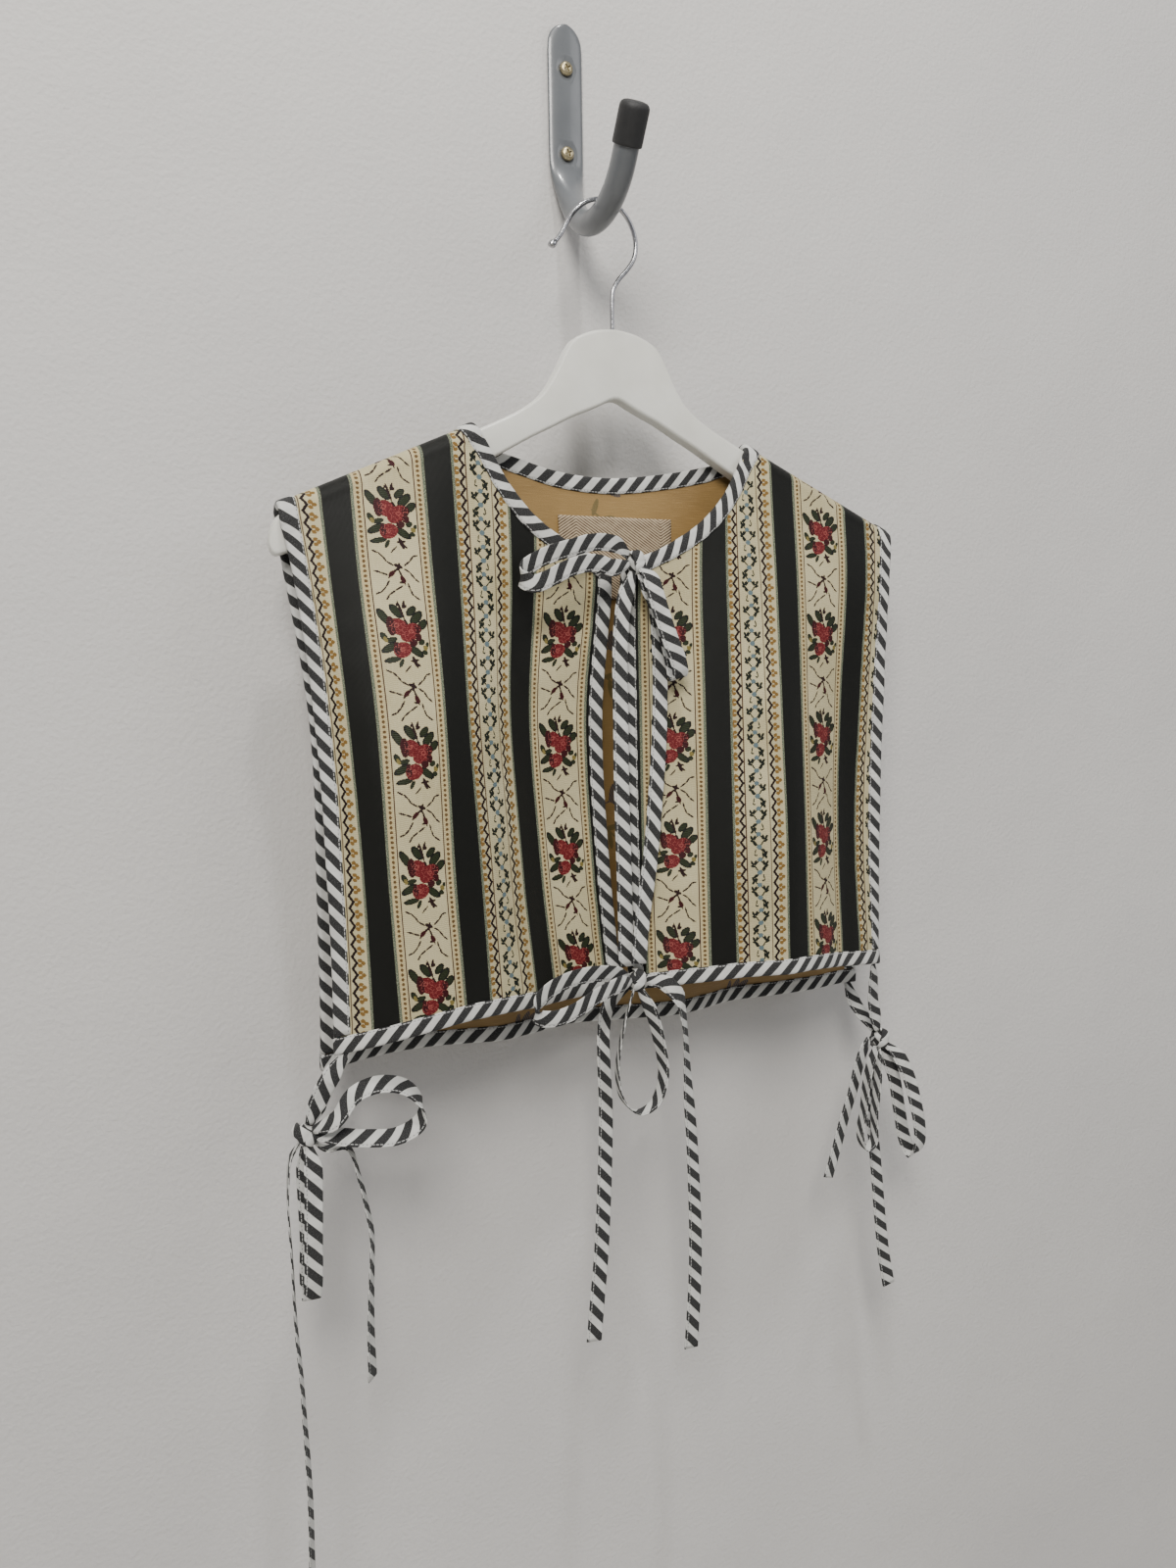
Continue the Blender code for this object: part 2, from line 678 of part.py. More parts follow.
CAP_WAY = np.array([-0.53, 0.848])


def hook():
    rows = table(HOOK)
    bar = tube("wall_hook", [(0, y, z, w, d) for y, z, w, d in zip(rows["y"], rows["z"], rows["wide"], rows["deep"])],
               (0.13, 0.135, 0.14), 0.3, 0.0, sides=20)
    flat = bmesh.new()
    bmesh.ops.create_cube(flat, size=1.0)
    for v in flat.verts:
        v.co = Vector((v.co.x * 0.04, v.co.y * 0.01 + 0.0048, v.co.z * 0.09 + 0.012))
    subtract(bar, flat)
    for z in (SCREW_Z, -SCREW_Z):
        bm = bmesh.new()
        bmesh.ops.create_cone(bm, cap_ends=True, segments=18, radius1=0.0095, radius2=0.0052, depth=0.0016)
        turn = Vector((0, 0, 1)).rotation_difference(Vector((0, 1, 0))).to_matrix()
        for v in bm.verts:
            v.co = turn @ v.co + Vector((0, -0.0048, z * MM))
        subtract(bar, bm)
        drill(bar, (0, -3, z), 2.5, 12, (0, 1, 0))


def screw(name, z):
    bm = bmesh.new()
    rings = ((2.1, -0.3), (2.1, -4.35), (4.6, -4.35), (4.6, -5.6), (3.9, -6.7), (2.4, -7.3))
    sides = 16
    loops = []
    for r, y in rings:
        loops.append([bm.verts.new((r * MM * math.cos(2 * math.pi * i / sides), y * MM,
                                    z * MM + r * MM * math.sin(2 * math.pi * i / sides))) for i in range(sides)])
    for a, b in zip(loops, loops[1:]):
        for i in range(sides):
            bm.faces.new([a[i], a[(i + 1) % sides], b[(i + 1) % sides], b[i]])
    bm.faces.new(loops[0])
    bm.faces.new(loops[-1][::-1])
    bmesh.ops.recalc_face_normals(bm, faces=bm.faces[:])
    mesh = bpy.data.meshes.new(name)
    bm.to_mesh(mesh)
    bm.free()
    obj = finish(name, mesh, (0.55, 0.48, 0.3), 0.3, 1.0)
    for wide, tall in ((5.0, 1.0), (1.0, 5.0)):
        bar = bmesh.new()
        bmesh.ops.create_cube(bar, size=1.0)
        for v in bar.verts:
            x = v.co.x * wide * MM
            h = v.co.z * tall * MM
            v.co = Vector((x * 0.88 - h * 0.47, v.co.y * 0.003 - 0.0074, z * MM + x * 0.47 + h * 0.88))
        subtract(obj, bar)


def cap():
    """The rubber cap on the hook's tip, a cup turned round the bar's last straight piece."""
    profile = ((8.35, 0.0), (9.2, 0.0), (9.4, 1.2), (9.4, 20.0), (8.9, 22.2), (7.6, 23.6), (3.0, 24.0))
    sides = 20
    side_way = Vector((1, 0, 0))
    along = Vector((0, CAP_WAY[0], CAP_WAY[1])).normalized()
    other = along.cross(side_way)
    start = Vector((0, CAP_START[0] * MM, CAP_START[1] * MM))
    bm = bmesh.new()
    loops = []
    inner = ((8.35, 17.6), (2.0, 18.0))
    for r, t in list(profile)[::-1] + list(inner):
        loops.append([bm.verts.new(start + along * t * MM + (side_way * math.cos(2 * math.pi * i / sides)
                      + other * math.sin(2 * math.pi * i / sides)) * r * MM) for i in range(sides)])
    for a, b in zip(loops, loops[1:]):
        for i in range(sides):
            bm.faces.new([a[i], a[(i + 1) % sides], b[(i + 1) % sides], b[i]])
    bm.faces.new(loops[0])
    bm.faces.new(loops[-1])
    bmesh.ops.recalc_face_normals(bm, faces=bm.faces[:])
    mesh = bpy.data.meshes.new("hook_cap")
    bm.to_mesh(mesh)
    bm.free()
    finish("hook_cap", mesh, (0.02, 0.02, 0.02), 0.6, 0.0)


TIES = {
    "neck_tail_a": ("neck_knot", """x y z
2.5 -76.5 -331
-1 -77.5 -360
-1 -77 -400
-1 -77 -450
0 -77.5 -512
1 -77 -568""", "", (1, 0, 0.3), (1, 0, 0), 16),
    "neck_tail_b": ("neck_knot", """x y z
24 -73.5 -316
27 -76 -340
28 -77 -371
26 -79 -416
22 -80 -459
17 -81 -500
11 -81.5 -536
8 -81 -566""", "", (1, 0, 0), (1, 0, 0.2), 16),
    "neck_loop_a": ("neck_knot", """x y z
-2 -77.5 -294.5
-20 -81.5 -293.5
-36 -83 -297.5
-51 -83 -302
-62 -83.5 -307
-70 -85.5 -312.5
-72.5 -89.5 -317.5
-67 -93 -321
-57 -93.5 -318
-47 -93 -313
-34 -91 -308.5
-20 -87 -307
-8 -82 -309""", "neck_knot", (0.1, -0.1, 1), (-0.2, -0.1, 1), 30),
    "neck_loop_b": ("neck_knot", """x y z
17 -85 -314
20 -89 -328
24 -90.5 -342
29 -91 -356
34 -91 -368
36 -90 -375
36.5 -87 -379
36.5 -83.5 -378.5
36 -82 -373
33 -81.5 -359
28 -81.5 -343
22 -81 -328
18 -80.5 -320""", "neck_knot", (1, -0.2, 0.3), (1, -0.2, 0.3), 34),
    "waist_loop_a": ("waist_knot", """x y z
-10 -84 -570.5
-29 -89 -567
-48 -91 -568.5
-62 -92.5 -573.5
-70 -94.5 -580.5
-71.5 -98 -586.5
-63 -101 -588.5
-47 -101 -585.5
-31 -98.5 -579
-14 -93 -575.5""", "waist_knot", (0.1, -0.1, 1), (-0.2, -0.1, 1), 26),
    "waist_loop_b": ("waist_knot", """x y z
-3 -85 -597
-9 -88 -613
-12 -88 -635
-8 -88 -654
3 -88 -664
15 -88 -660
22 -88 -642
19 -88 -618
14 -87 -598""", "waist_knot", (0.5, 0.85, 0), (-0.5, 0.85, 0), 20),
    "waist_tail_a": ("waist_knot", """x y z
-10 -73.5 -592
-15 -75 -606
-17 -78 -628
-17 -80 -658
-18 -80 -696
-20 -80 -733
-22 -80 -761
-25 -80 -789
-28 -80 -818""", "", (0.7, 0.2, -0.7), (1, 0, 0), 18),
    "waist_tail_b": ("waist_knot", """x y z
23 -88 -579
31 -93 -588
35 -92.5 -602
39 -88 -618
42.5 -83 -636
45 -80 -656
47 -80 -682
48.5 -80 -710
50 -80 -768
49 -80 -800
46 -80 -842""", "", (0.1, 0.3, 1), (0.95, 0.05, 0), 22),
    "right_stay_front": ((RIGHT, 5.0), """x y z
-196 -80 -610
-203 -75.5 -625""", "right_knot", (1, -0.3, 0.4), (1, 0, 0.4), 6),
    "right_stay_back": ((BACK, 5.0), """x y z
-192 -40.5 -628
-197 -49.5 -633.5
-203 -60 -638.5""", "right_knot", (0.8, -0.5, 0.1), (0.8, -0.5, -0.2), 14),
    "right_loop_a": ("right_knot", """x y z
-195 -85 -635
-184 -85 -622
-170 -86 -617.5
-153 -86 -622
-143.5 -86 -634
-145 -86 -645
-158 -86 -651
-175 -85 -650
-192 -81 -647.5""", "right_knot", (0, 0.6, 0.8), (0, 0.6, 0.8), 22),
    "right_tail_a": ("right_knot", """x y z
-199.5 -68 -658
-186 -69 -659
-179 -70 -680
-175 -70 -700
-172.5 -70 -717
-173 -70 -735
-174 -70 -752
-175 -70 -777
-175 -70 -809""", "", (0.2, 1, 0), (0.6, 0.7, 0), 18),
    "right_loop_b": ("right_knot", """x y z
-208.5 -78.5 -663
-209 -80 -682
-210 -80 -710
-211 -79 -738
-211.5 -75.5 -746
-212 -72 -738
-211 -71.5 -710
-211.5 -71.5 -680
-211.5 -71 -664""", "right_knot", (1, 0, 0), (1, 0, 0), 22),
    "right_tail_b": ("right_knot", """x y z
-219.5 -69 -659
-221.5 -68.5 -675
-222 -68 -693
-221 -68 -720
-220 -68 -767
-218 -68 -799
-217 -68 -829
-216 -68 -854
-215.5 -68 -885
-216 -68 -920
-216 -68 -952""", "", (0.1, 1, 0), (0.5, 0.85, 0), 26),
    "left_stay_front": ((LEFT, 5.5), """x y z
208.5 -70 -606
210 -68 -620
214 -66 -634""", "left_knot", (1, 0.3, 0), (1, 0, 0.3), 8),
    "left_stay_back": ((BACK, 428.5), """x y z
213 -41.5 -628
216 -51 -639""", "left_knot", (1, 0, 0), (1, 0, 0), 6),
    "left_tail_a": ("left_knot", """x y z
207 -66.5 -651.5
202 -66.5 -659.5
197.5 -66.5 -672
192.5 -66.5 -689
186 -66 -707
179.5 -66 -727
171.5 -66 -750""", "", (1, 0.2, 0.3), (1, 0.25, 0.1), 16),
    "left_loop_a": ("left_knot", """x y z
208 -70 -664
202 -72 -678
199 -72 -702
196 -72 -720
200 -72 -731
207 -72 -729
209 -72 -705
213 -71 -676""", "left_knot", (0.15, 1, 0), (0.15, 1, 0), 20),
    "left_tail_b": ("left_knot", """x y z
222 -55.5 -668
216 -59 -691
216 -59 -709
219 -59 -735
221 -59 -753
223 -59 -773
226 -59 -802
229 -59 -825
234 -59 -851""", "", (1, 0.2, 0), (1, 0, 0.2), 18),
    "left_loop_b": ("left_knot", """x y z
230 -73 -664
236 -77 -679
242 -79 -702
246 -79 -722
246.5 -77 -737
244.5 -72.5 -743
241.5 -68 -734
236.5 -67 -710
229.5 -67 -678""", "left_knot", (1, 0, 0.3), (1, 0, 0.3), 22),
}
KNOTS = {
    "neck_knot": ((13.5, -72.3, -304.5), (7.0, 5.5, 6.5)),
    "waist_knot": ((8.0, -76.5, -578.0), (7.5, 6.0, 6.0)),
    "right_knot": ((-211.0, -70.5, -646.0), (6.0, 6.0, 6.5)),
    "left_knot": ((220.0, -62.5, -652.0), (6.0, 6.0, 6.5)),
}
KNOT_AIR = 0.5          # a tape's end stops this far off its knot
PINCH = 0.45            # how far a tape is gathered where it leaves a knot
GATHER = 13.0           # length over which it spreads to its full width


def anchor(end, toward):
    """Where a tape starts: on a knot's skin or under a hem binding's corner."""
    if isinstance(end, str):
        centre, size = KNOTS[end]
        way = np.array(toward) - np.array(centre)
        way /= np.linalg.norm(way)
        reach = 1 / math.sqrt(sum((way[i] / size[i]) ** 2 for i in range(3)))
        return np.array(centre) + way * (reach + KNOT_AIR)
    cloth, s = end
    return cloth.at(s, cloth.hem(s)) + hem_ways(cloth, s)[1] * (SEAM + CLOTH + 0.45)


def hem_ways(cloth, s):
    """Along the hem at s, and straight down off it in the cloth."""
    along = cloth.at(s + 4, cloth.hem(s + 4)) - cloth.at(s - 4, cloth.hem(s - 4))
    along /= np.linalg.norm(along)
    down = np.array([0, 0, -1.0])
    down -= along * along.dot(down)
    return along, down / np.linalg.norm(down)


def ribbon(name, first, text, second, start, end, pieces):
    """A flat tape along a short table of points, its width turning from start to end."""
    rows = table(text)
    points = [np.array(p) for p in zip(rows["x"], rows["y"], rows["z"])]
    if first:
        points.insert(0, anchor(first, points[0]))
    sewn = hem_ways(*first) if isinstance(first, tuple) else None
    if sewn:
        start = sewn[0] * (1 if sewn[0].dot(end) > 0 else -1)
    if second:
        points.append(anchor(second, points[-1]))
    points = np.array(points)
    lengths = np.concatenate([[0], np.cumsum(np.linalg.norm(np.diff(points, axis=0), axis=1))])
    spots = np.linspace(0, lengths[-1], pieces + 1)
    line = [np.array([hermite(lengths, points[:, c], t) for c in range(3)]) for t in spots]
    verts = []
    for k, spot in enumerate(line):
        ahead = line[min(k + 1, pieces)] - line[max(k - 1, 0)]
        ahead /= np.linalg.norm(ahead)
        f = k / pieces
        wide = np.array(start, float) * (1 - f) + np.array(end, float) * f
        wide -= ahead * wide.dot(ahead)
        wide /= np.linalg.norm(wide)
        face = np.cross(ahead, wide)
        if sewn and k == 0:
            wide = start
            face = np.cross(sewn[1], wide)
        half = TAPE / 2
        for held, run in ((first, spots[k]), (second, lengths[-1] - spots[k])):
            if held and run < GATHER:
                half *= PINCH + (1 - PINCH) * run / GATHER
        for a, b in ((-1, -1), (1, -1), (1, 1), (-1, 1)):
            verts.append(spot + wide * a * half + face * b * TAPE_THICK / 2)
    faces = []
    for k in range(pieces):
        for c in range(4):
            d = (c + 1) % 4
            a = k * 4
            b = a + 4
            faces.append([a + c, a + d, b + d])
            faces.append([a + c, b + d, b + c])
    faces.append([0, 1, 2, 3])
    faces.append([pieces * 4 + i for i in range(4)])
    return solid(name, verts, faces, TICKING)


def build():
    clear_scene()
    near = front(RIGHT, "right")
    far = front(LEFT, "left")
    middle = back()
    binding("neck_binding", near + middle + far[::-1], TICKING, 0.55)
    wood = hanger()
    drill(wood, (CENTRE_X, HANGER_Y, -165), 1.9, 28, (0, 0, 1))
    wire()
    hook()
    screw("screw_upper", SCREW_Z)
    screw("screw_lower", -SCREW_Z)
    cap()
    for name, (first, text, second, start, end, pieces) in TIES.items():
        ribbon(name, first, text, second, start, end, pieces)
    for name, (centre, size) in KNOTS.items():
        knot(name, centre, size)


build()
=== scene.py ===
import json
import math
import bpy
import bmesh
import numpy as np
from mathutils import Vector, Matrix, noise
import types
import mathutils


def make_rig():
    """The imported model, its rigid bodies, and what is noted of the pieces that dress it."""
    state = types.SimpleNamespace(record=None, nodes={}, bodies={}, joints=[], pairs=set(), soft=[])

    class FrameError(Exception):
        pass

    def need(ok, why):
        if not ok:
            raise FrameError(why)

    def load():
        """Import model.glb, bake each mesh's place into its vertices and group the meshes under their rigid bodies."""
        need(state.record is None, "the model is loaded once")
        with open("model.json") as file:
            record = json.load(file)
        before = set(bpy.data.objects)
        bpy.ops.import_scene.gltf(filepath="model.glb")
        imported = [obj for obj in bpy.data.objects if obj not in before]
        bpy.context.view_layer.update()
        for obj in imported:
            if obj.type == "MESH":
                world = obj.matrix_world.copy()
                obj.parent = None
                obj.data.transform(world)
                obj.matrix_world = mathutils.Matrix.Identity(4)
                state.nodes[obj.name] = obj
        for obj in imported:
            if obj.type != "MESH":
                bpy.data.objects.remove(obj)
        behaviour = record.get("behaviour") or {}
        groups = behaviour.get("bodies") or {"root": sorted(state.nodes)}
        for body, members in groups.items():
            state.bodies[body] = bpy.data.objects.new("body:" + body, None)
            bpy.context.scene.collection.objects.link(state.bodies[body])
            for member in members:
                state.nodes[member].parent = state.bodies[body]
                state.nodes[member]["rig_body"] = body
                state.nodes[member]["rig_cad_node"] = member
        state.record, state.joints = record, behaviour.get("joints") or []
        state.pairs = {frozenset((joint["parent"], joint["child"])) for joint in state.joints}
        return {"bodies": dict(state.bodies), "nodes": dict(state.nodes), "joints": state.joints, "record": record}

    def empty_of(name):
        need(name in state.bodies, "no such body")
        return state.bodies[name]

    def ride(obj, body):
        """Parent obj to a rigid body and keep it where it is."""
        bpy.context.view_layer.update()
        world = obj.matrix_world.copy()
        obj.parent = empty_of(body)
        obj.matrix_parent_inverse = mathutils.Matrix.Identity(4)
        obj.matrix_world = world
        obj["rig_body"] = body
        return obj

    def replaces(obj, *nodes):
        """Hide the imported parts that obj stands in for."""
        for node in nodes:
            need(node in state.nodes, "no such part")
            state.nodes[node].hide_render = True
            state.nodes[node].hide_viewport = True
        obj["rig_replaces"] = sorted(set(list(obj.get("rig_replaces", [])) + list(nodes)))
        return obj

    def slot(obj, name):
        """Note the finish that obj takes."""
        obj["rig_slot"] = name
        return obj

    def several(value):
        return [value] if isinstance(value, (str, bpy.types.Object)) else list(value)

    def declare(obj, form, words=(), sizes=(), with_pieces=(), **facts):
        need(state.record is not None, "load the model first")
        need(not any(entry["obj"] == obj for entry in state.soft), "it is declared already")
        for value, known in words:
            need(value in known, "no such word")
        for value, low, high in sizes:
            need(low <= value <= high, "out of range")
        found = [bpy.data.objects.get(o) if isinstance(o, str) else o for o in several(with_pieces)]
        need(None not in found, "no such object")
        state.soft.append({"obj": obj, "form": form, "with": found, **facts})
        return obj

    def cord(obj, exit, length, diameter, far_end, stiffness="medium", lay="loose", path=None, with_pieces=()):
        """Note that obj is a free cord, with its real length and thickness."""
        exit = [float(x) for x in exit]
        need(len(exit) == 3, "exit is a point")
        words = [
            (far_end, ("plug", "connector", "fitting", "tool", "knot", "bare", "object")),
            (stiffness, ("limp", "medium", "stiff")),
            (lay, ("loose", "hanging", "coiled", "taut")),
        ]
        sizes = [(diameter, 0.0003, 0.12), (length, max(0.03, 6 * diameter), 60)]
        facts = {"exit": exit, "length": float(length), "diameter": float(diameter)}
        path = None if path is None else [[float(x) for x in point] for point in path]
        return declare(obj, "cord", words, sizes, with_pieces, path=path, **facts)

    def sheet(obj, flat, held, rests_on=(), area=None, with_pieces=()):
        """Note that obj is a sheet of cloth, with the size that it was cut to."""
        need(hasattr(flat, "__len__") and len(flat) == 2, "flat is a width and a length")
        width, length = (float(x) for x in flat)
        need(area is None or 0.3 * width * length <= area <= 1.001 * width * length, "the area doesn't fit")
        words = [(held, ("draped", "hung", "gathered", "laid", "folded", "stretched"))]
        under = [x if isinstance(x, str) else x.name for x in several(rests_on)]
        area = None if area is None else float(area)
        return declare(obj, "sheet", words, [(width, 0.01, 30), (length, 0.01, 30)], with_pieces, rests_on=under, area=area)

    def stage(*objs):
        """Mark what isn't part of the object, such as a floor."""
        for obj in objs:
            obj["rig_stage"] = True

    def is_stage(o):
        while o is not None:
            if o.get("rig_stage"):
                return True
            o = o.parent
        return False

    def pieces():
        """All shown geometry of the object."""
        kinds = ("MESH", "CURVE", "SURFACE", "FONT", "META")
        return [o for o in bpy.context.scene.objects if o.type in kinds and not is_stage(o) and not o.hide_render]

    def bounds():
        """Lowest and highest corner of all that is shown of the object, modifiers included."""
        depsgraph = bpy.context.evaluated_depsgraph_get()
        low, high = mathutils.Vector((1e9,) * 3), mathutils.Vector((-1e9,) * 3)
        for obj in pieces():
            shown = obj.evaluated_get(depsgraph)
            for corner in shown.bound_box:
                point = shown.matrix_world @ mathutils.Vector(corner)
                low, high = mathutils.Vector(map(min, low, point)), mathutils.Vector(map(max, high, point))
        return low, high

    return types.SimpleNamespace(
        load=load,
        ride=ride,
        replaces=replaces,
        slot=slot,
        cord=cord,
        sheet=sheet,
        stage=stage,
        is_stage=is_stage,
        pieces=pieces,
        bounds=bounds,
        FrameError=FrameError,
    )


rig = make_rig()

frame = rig.load()
cadBox = [list(corner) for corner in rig.bounds()]
mm = 0.001
print("frame loaded")

cameraView = {
    "place": (-0.33946, -0.75963, -0.37722),
    "yaw": 0.43174,
    "pitch": -0.0911,
    "roll": -0.01493,
    "lens": 27.05,
    "sensor": 36,
    "nearest": 0.02,
    "farthest": 20,
}


def addCamera():
    yaw, pitch, roll = cameraView["yaw"], cameraView["pitch"], cameraView["roll"]
    ahead = Vector((math.sin(yaw) * math.cos(pitch), math.cos(yaw) * math.cos(pitch), math.sin(pitch)))
    side = Vector((math.cos(yaw), -math.sin(yaw), 0))
    up = side.cross(ahead)
    right = side * math.cos(roll) + up * math.sin(roll)
    top = up * math.cos(roll) - side * math.sin(roll)
    data = bpy.data.cameras.new("photoCamera")
    data.lens = cameraView["lens"]
    data.sensor_width = cameraView["sensor"]
    data.dof.use_dof = False
    data.clip_start = cameraView["nearest"]
    data.clip_end = cameraView["farthest"]
    camera = bpy.data.objects.new("photoCamera", data)
    bpy.context.scene.collection.objects.link(camera)
    turned = Matrix((right, top, -ahead)).transposed().to_4x4()
    camera.matrix_world = Matrix.Translation(cameraView["place"]) @ turned
    bpy.context.scene.camera = camera


addCamera()
print("camera set")

# cut of the cloth in millimetres, the same tables as the solids
garment = {
    "centreX": 7.3,
    "hangerY": -55.0,
    "seam": 0.3,
    "wall": 1.0,
    "binding": 9.0,
    "bend": 13.8,
    "tipOut": 217.0,
    "tipHeight": -275.5,
    "neckOut": 98.5,
    "neckHeight": -222.5,
    "neckAcross": 118.5,
    "frontAcross": 214.0,
    "backAcross": 434.0,
    "neckCorner": -304.0,
    "neckTurn": ((13.8, 4.0), (9.2, 1.6), (4.6, 0.4), (0.0, 0.0)),
    "sideRows": (0, 9, 45, 80, 115, 148, 178, 202),
    "sideTopRows": (105, 91, 77, 64, 51, 38, 26),
    "frontRows": (0, 9, 56, 102, 148, 194, 232, 258),
    "levels": {"Low": -500.0, "Mid": -400.0, "Chest": -315.0},  # heights of the folds' columns
    "overNeck": 8.0,                     # highest of them above the neck point
    "pucker": 0.35,                      # small waves where the bindings pull
    "sidePucker": (20, 4.3, 1.4, 19),    # reach, step, how far the step strays and how slowly
    "hemPucker": (16, 4.9, 1.2, 23),
    "undulation": 0.8,                   # soft waves in the middle of a panel
    "undulationSize": (55, 75),
    "calm": 30,                          # no waves at the shoulder, all of them this far below
}
ridgeRadius = garment["bend"] * 2 / math.pi
lift = ridgeRadius * (math.pi / 2 - 1)
turnRows = len(garment["neckTurn"])
frontRightFolds = """
across xHem   xLow   xMid   xChest xTop   yHem yLow yMid yChest yTop  zHem
0      -199   -199   -202   -211   -217   -78  -75  -70  -66    -63.8 -597
9      -191.5 -191.5 -195   -203.5 -208   -84  -80  -75  -68.5  -63.8 -594.5
23     -179.5 -181   -186   -192   -194   -92  -88  -83  -72    -63.8 -591
40     -165   -169.5 -173   -177   -177   -97  -97  -93  -76    -63.8 -587.5
62.5   -145   -150   -152.5 -154.5 -154.5 -99  -101 -99  -78    -63.8 -584
85     -124   -130   -133   -132   -132   -97  -100 -98  -77    -63.8 -582
102    -108   -113   -118   -115   -115   -93  -96  -93  -74    -63.8 -582
121.5  -89    -95    -100   -96    -95.5  -87  -87  -84  -70    -63   -583
141    -71    -79    -84    -78    -78    -80  -78  -74  -66    -63.5 -584.5
158    -56    -64    -69    -62    -62    -72  -70  -68  -64    -64   -585.5
180.5  -34    -43    -48    -40    -40    -65  -64  -64  -63    -63   -586
205    -13    -21    -24.5  -17    -17    -63  -62  -62  -63    -63   -586
214    -4.5   -12.5  -16    -8.5   -8.5   -63  -62  -62  -64    -64   -586
"""
frontLeftFolds = """
across xHem xLow  xMid  xChest xTop  yHem  yLow  yMid  yChest yTop  zHem
0      202  203   207   213    217   -72   -71   -69   -67    -63.8 -590
9      194  194   198   204    208   -76   -71   -69   -68.5  -63.8 -588.5
23     180  180   185   190    194   -80   -73   -71   -71    -63.8 -587
40     163  163   168   173    177   -83   -77   -72   -72    -63.8 -585
62.5   143  142.5 146.5 150.5  154.5 -92   -87   -79   -74    -63.8 -582
85     122  122   125   128    132   -99   -95   -85   -76    -63.8 -580
102    105  106   108   111    115   -102  -98   -88   -77    -63.8 -579.5
121.5  86   86.5  89    92     95.5  -100  -96   -86.5 -76    -63   -579
141    67   67    70    73     78    -96   -92   -83   -74    -63.5 -579
158    51   51    53    56     62    -90   -87   -80   -71    -64   -580.5
180.5  30   30    31    34     40    -81   -78   -74   -67    -63   -582.5
205    10   8     8     10     16.5  -70.5 -69.5 -67.5 -63.5  -63   -584.5
214    1.5  0     -1    1      7     -67   -66   -65   -63    -64   -585
"""
backFolds = """
across xHem   xLow   xMid  xTop   yHem  yLow  yMid  yTop  zHem
0      -199   -198.5 -200  -217   -37   -41   -44   -46.2 -619
9      -190.5 -190   -192  -208   -34.5 -38.5 -42.5 -46.2 -619
43     -158   -158   -160  -174   -25   -30   -37   -46.2 -618
74     -127   -128   -130  -143   -27   -31   -36   -46.2 -617
109.5  -93    -94    -95.5 -107.5 -37.5 -37.5 -40   -46.2 -616
118.5  -84    -85.5  -87   -98.5  -39   -39   -41   -46.2 -616
148    -56    -58    -59   -69    -33   -36   -39   -46   -616
179    -28    -29    -30   -38    -25   -30   -36   -44   -616
217    7      6      5     0      -31   -33   -38   -43   -616
264    52     50     49    47     -41   -39   -40   -44   -616
289    75     73     72    72     -36   -37   -39   -46   -616
315.5  99     98     97    98.5   -28   -32   -37   -46.2 -616
324.5  107.5  105.5  105.5 107.5  -27   -31   -37   -46.2 -616
360    140    139    139   143    -33   -35   -39   -46.2 -615
391    169    168    168   174    -36   -38   -41   -46.2 -614
425    201    200    201   208    -34   -38   -42.5 -46.2 -613
434    209    208    209   217    -36   -40   -44   -46.2 -613
"""
neckline = """
across height
129.5  -241
136    -252
143.5  -262
158    -277
178    -290.5
196    -299
"""
backNeck = """
across height
118.5  0
148    -238.5
179    -245.5
217    -248
264    -242.5
289    -237.5
315.5  0
"""
backRows = """
centre side
-272   -308
-299   -330
-326   -354
-378   -398
-430   -444
-482   -490
-534   -538
-578   -578
"""


def table(text):
    lines = [line.split() for line in text.strip().splitlines()]
    return {name: np.array([float(row[i]) for row in lines[1:]]) for i, name in enumerate(lines[0])}


def running(points):  # how far along a line each of its points lies
    return np.concatenate([[0], np.cumsum(np.linalg.norm(np.diff(points, axis=0), axis=1))])


def curve(stops, values, at, steady=False):  # smooth line through a few values; steady never overshoots
    at = np.atleast_1d(np.asarray(at, float))
    count = len(stops)
    stops = np.array([np.broadcast_to(k, at.shape) for k in stops], float)
    values = np.array([np.broadcast_to(v, at.shape) for v in values], float)
    steps = np.diff(values, axis=0) / np.diff(stops, axis=0)
    if steady:
        both = steps[1:] * steps[:-1]
        total = steps[1:] + steps[:-1]
        inner = np.where(both > 0, 2 * both / np.where(total == 0, 1, total), 0)
    else:
        inner = (steps[1:] + steps[:-1]) / 2
    slopes = np.concatenate([steps[:1], inner, steps[-1:]])
    i = np.clip((stops < at).sum(0) - 1, 0, count - 2)

    def pick(a, j):
        return np.take_along_axis(a, j[None], 0)[0]

    k0, v0, m0 = (pick(a, i) for a in (stops, values, slopes))
    k1, v1, m1 = (pick(a, i + 1) for a in (stops, values, slopes))
    width = k1 - k0
    t = (at - k0) / width
    smooth = (2 * t ** 3 - 3 * t ** 2 + 1) * v0 + (t ** 3 - 2 * t ** 2 + t) * width * m0 \
        + (3 * t ** 2 - 2 * t ** 3) * v1 + (t ** 3 - t ** 2) * width * m1
    return np.where(t < 0, v0 + m0 * (at - k0), np.where(t > 1, v1 + m1 * (at - k1), smooth))


panels = {
    "right": {"folds": table(frontRightFolds), "levels": ("Hem", "Low", "Mid", "Chest", "Top"), "side": -1,
              "across": garment["frontAcross"], "sign": 1},
    "left": {"folds": table(frontLeftFolds), "levels": ("Hem", "Low", "Mid", "Chest", "Top"), "side": -1,
             "across": garment["frontAcross"], "sign": -1},
    "back": {"folds": table(backFolds), "levels": ("Hem", "Low", "Mid", "Top"), "side": 1,
             "across": garment["backAcross"], "sign": -1},
}


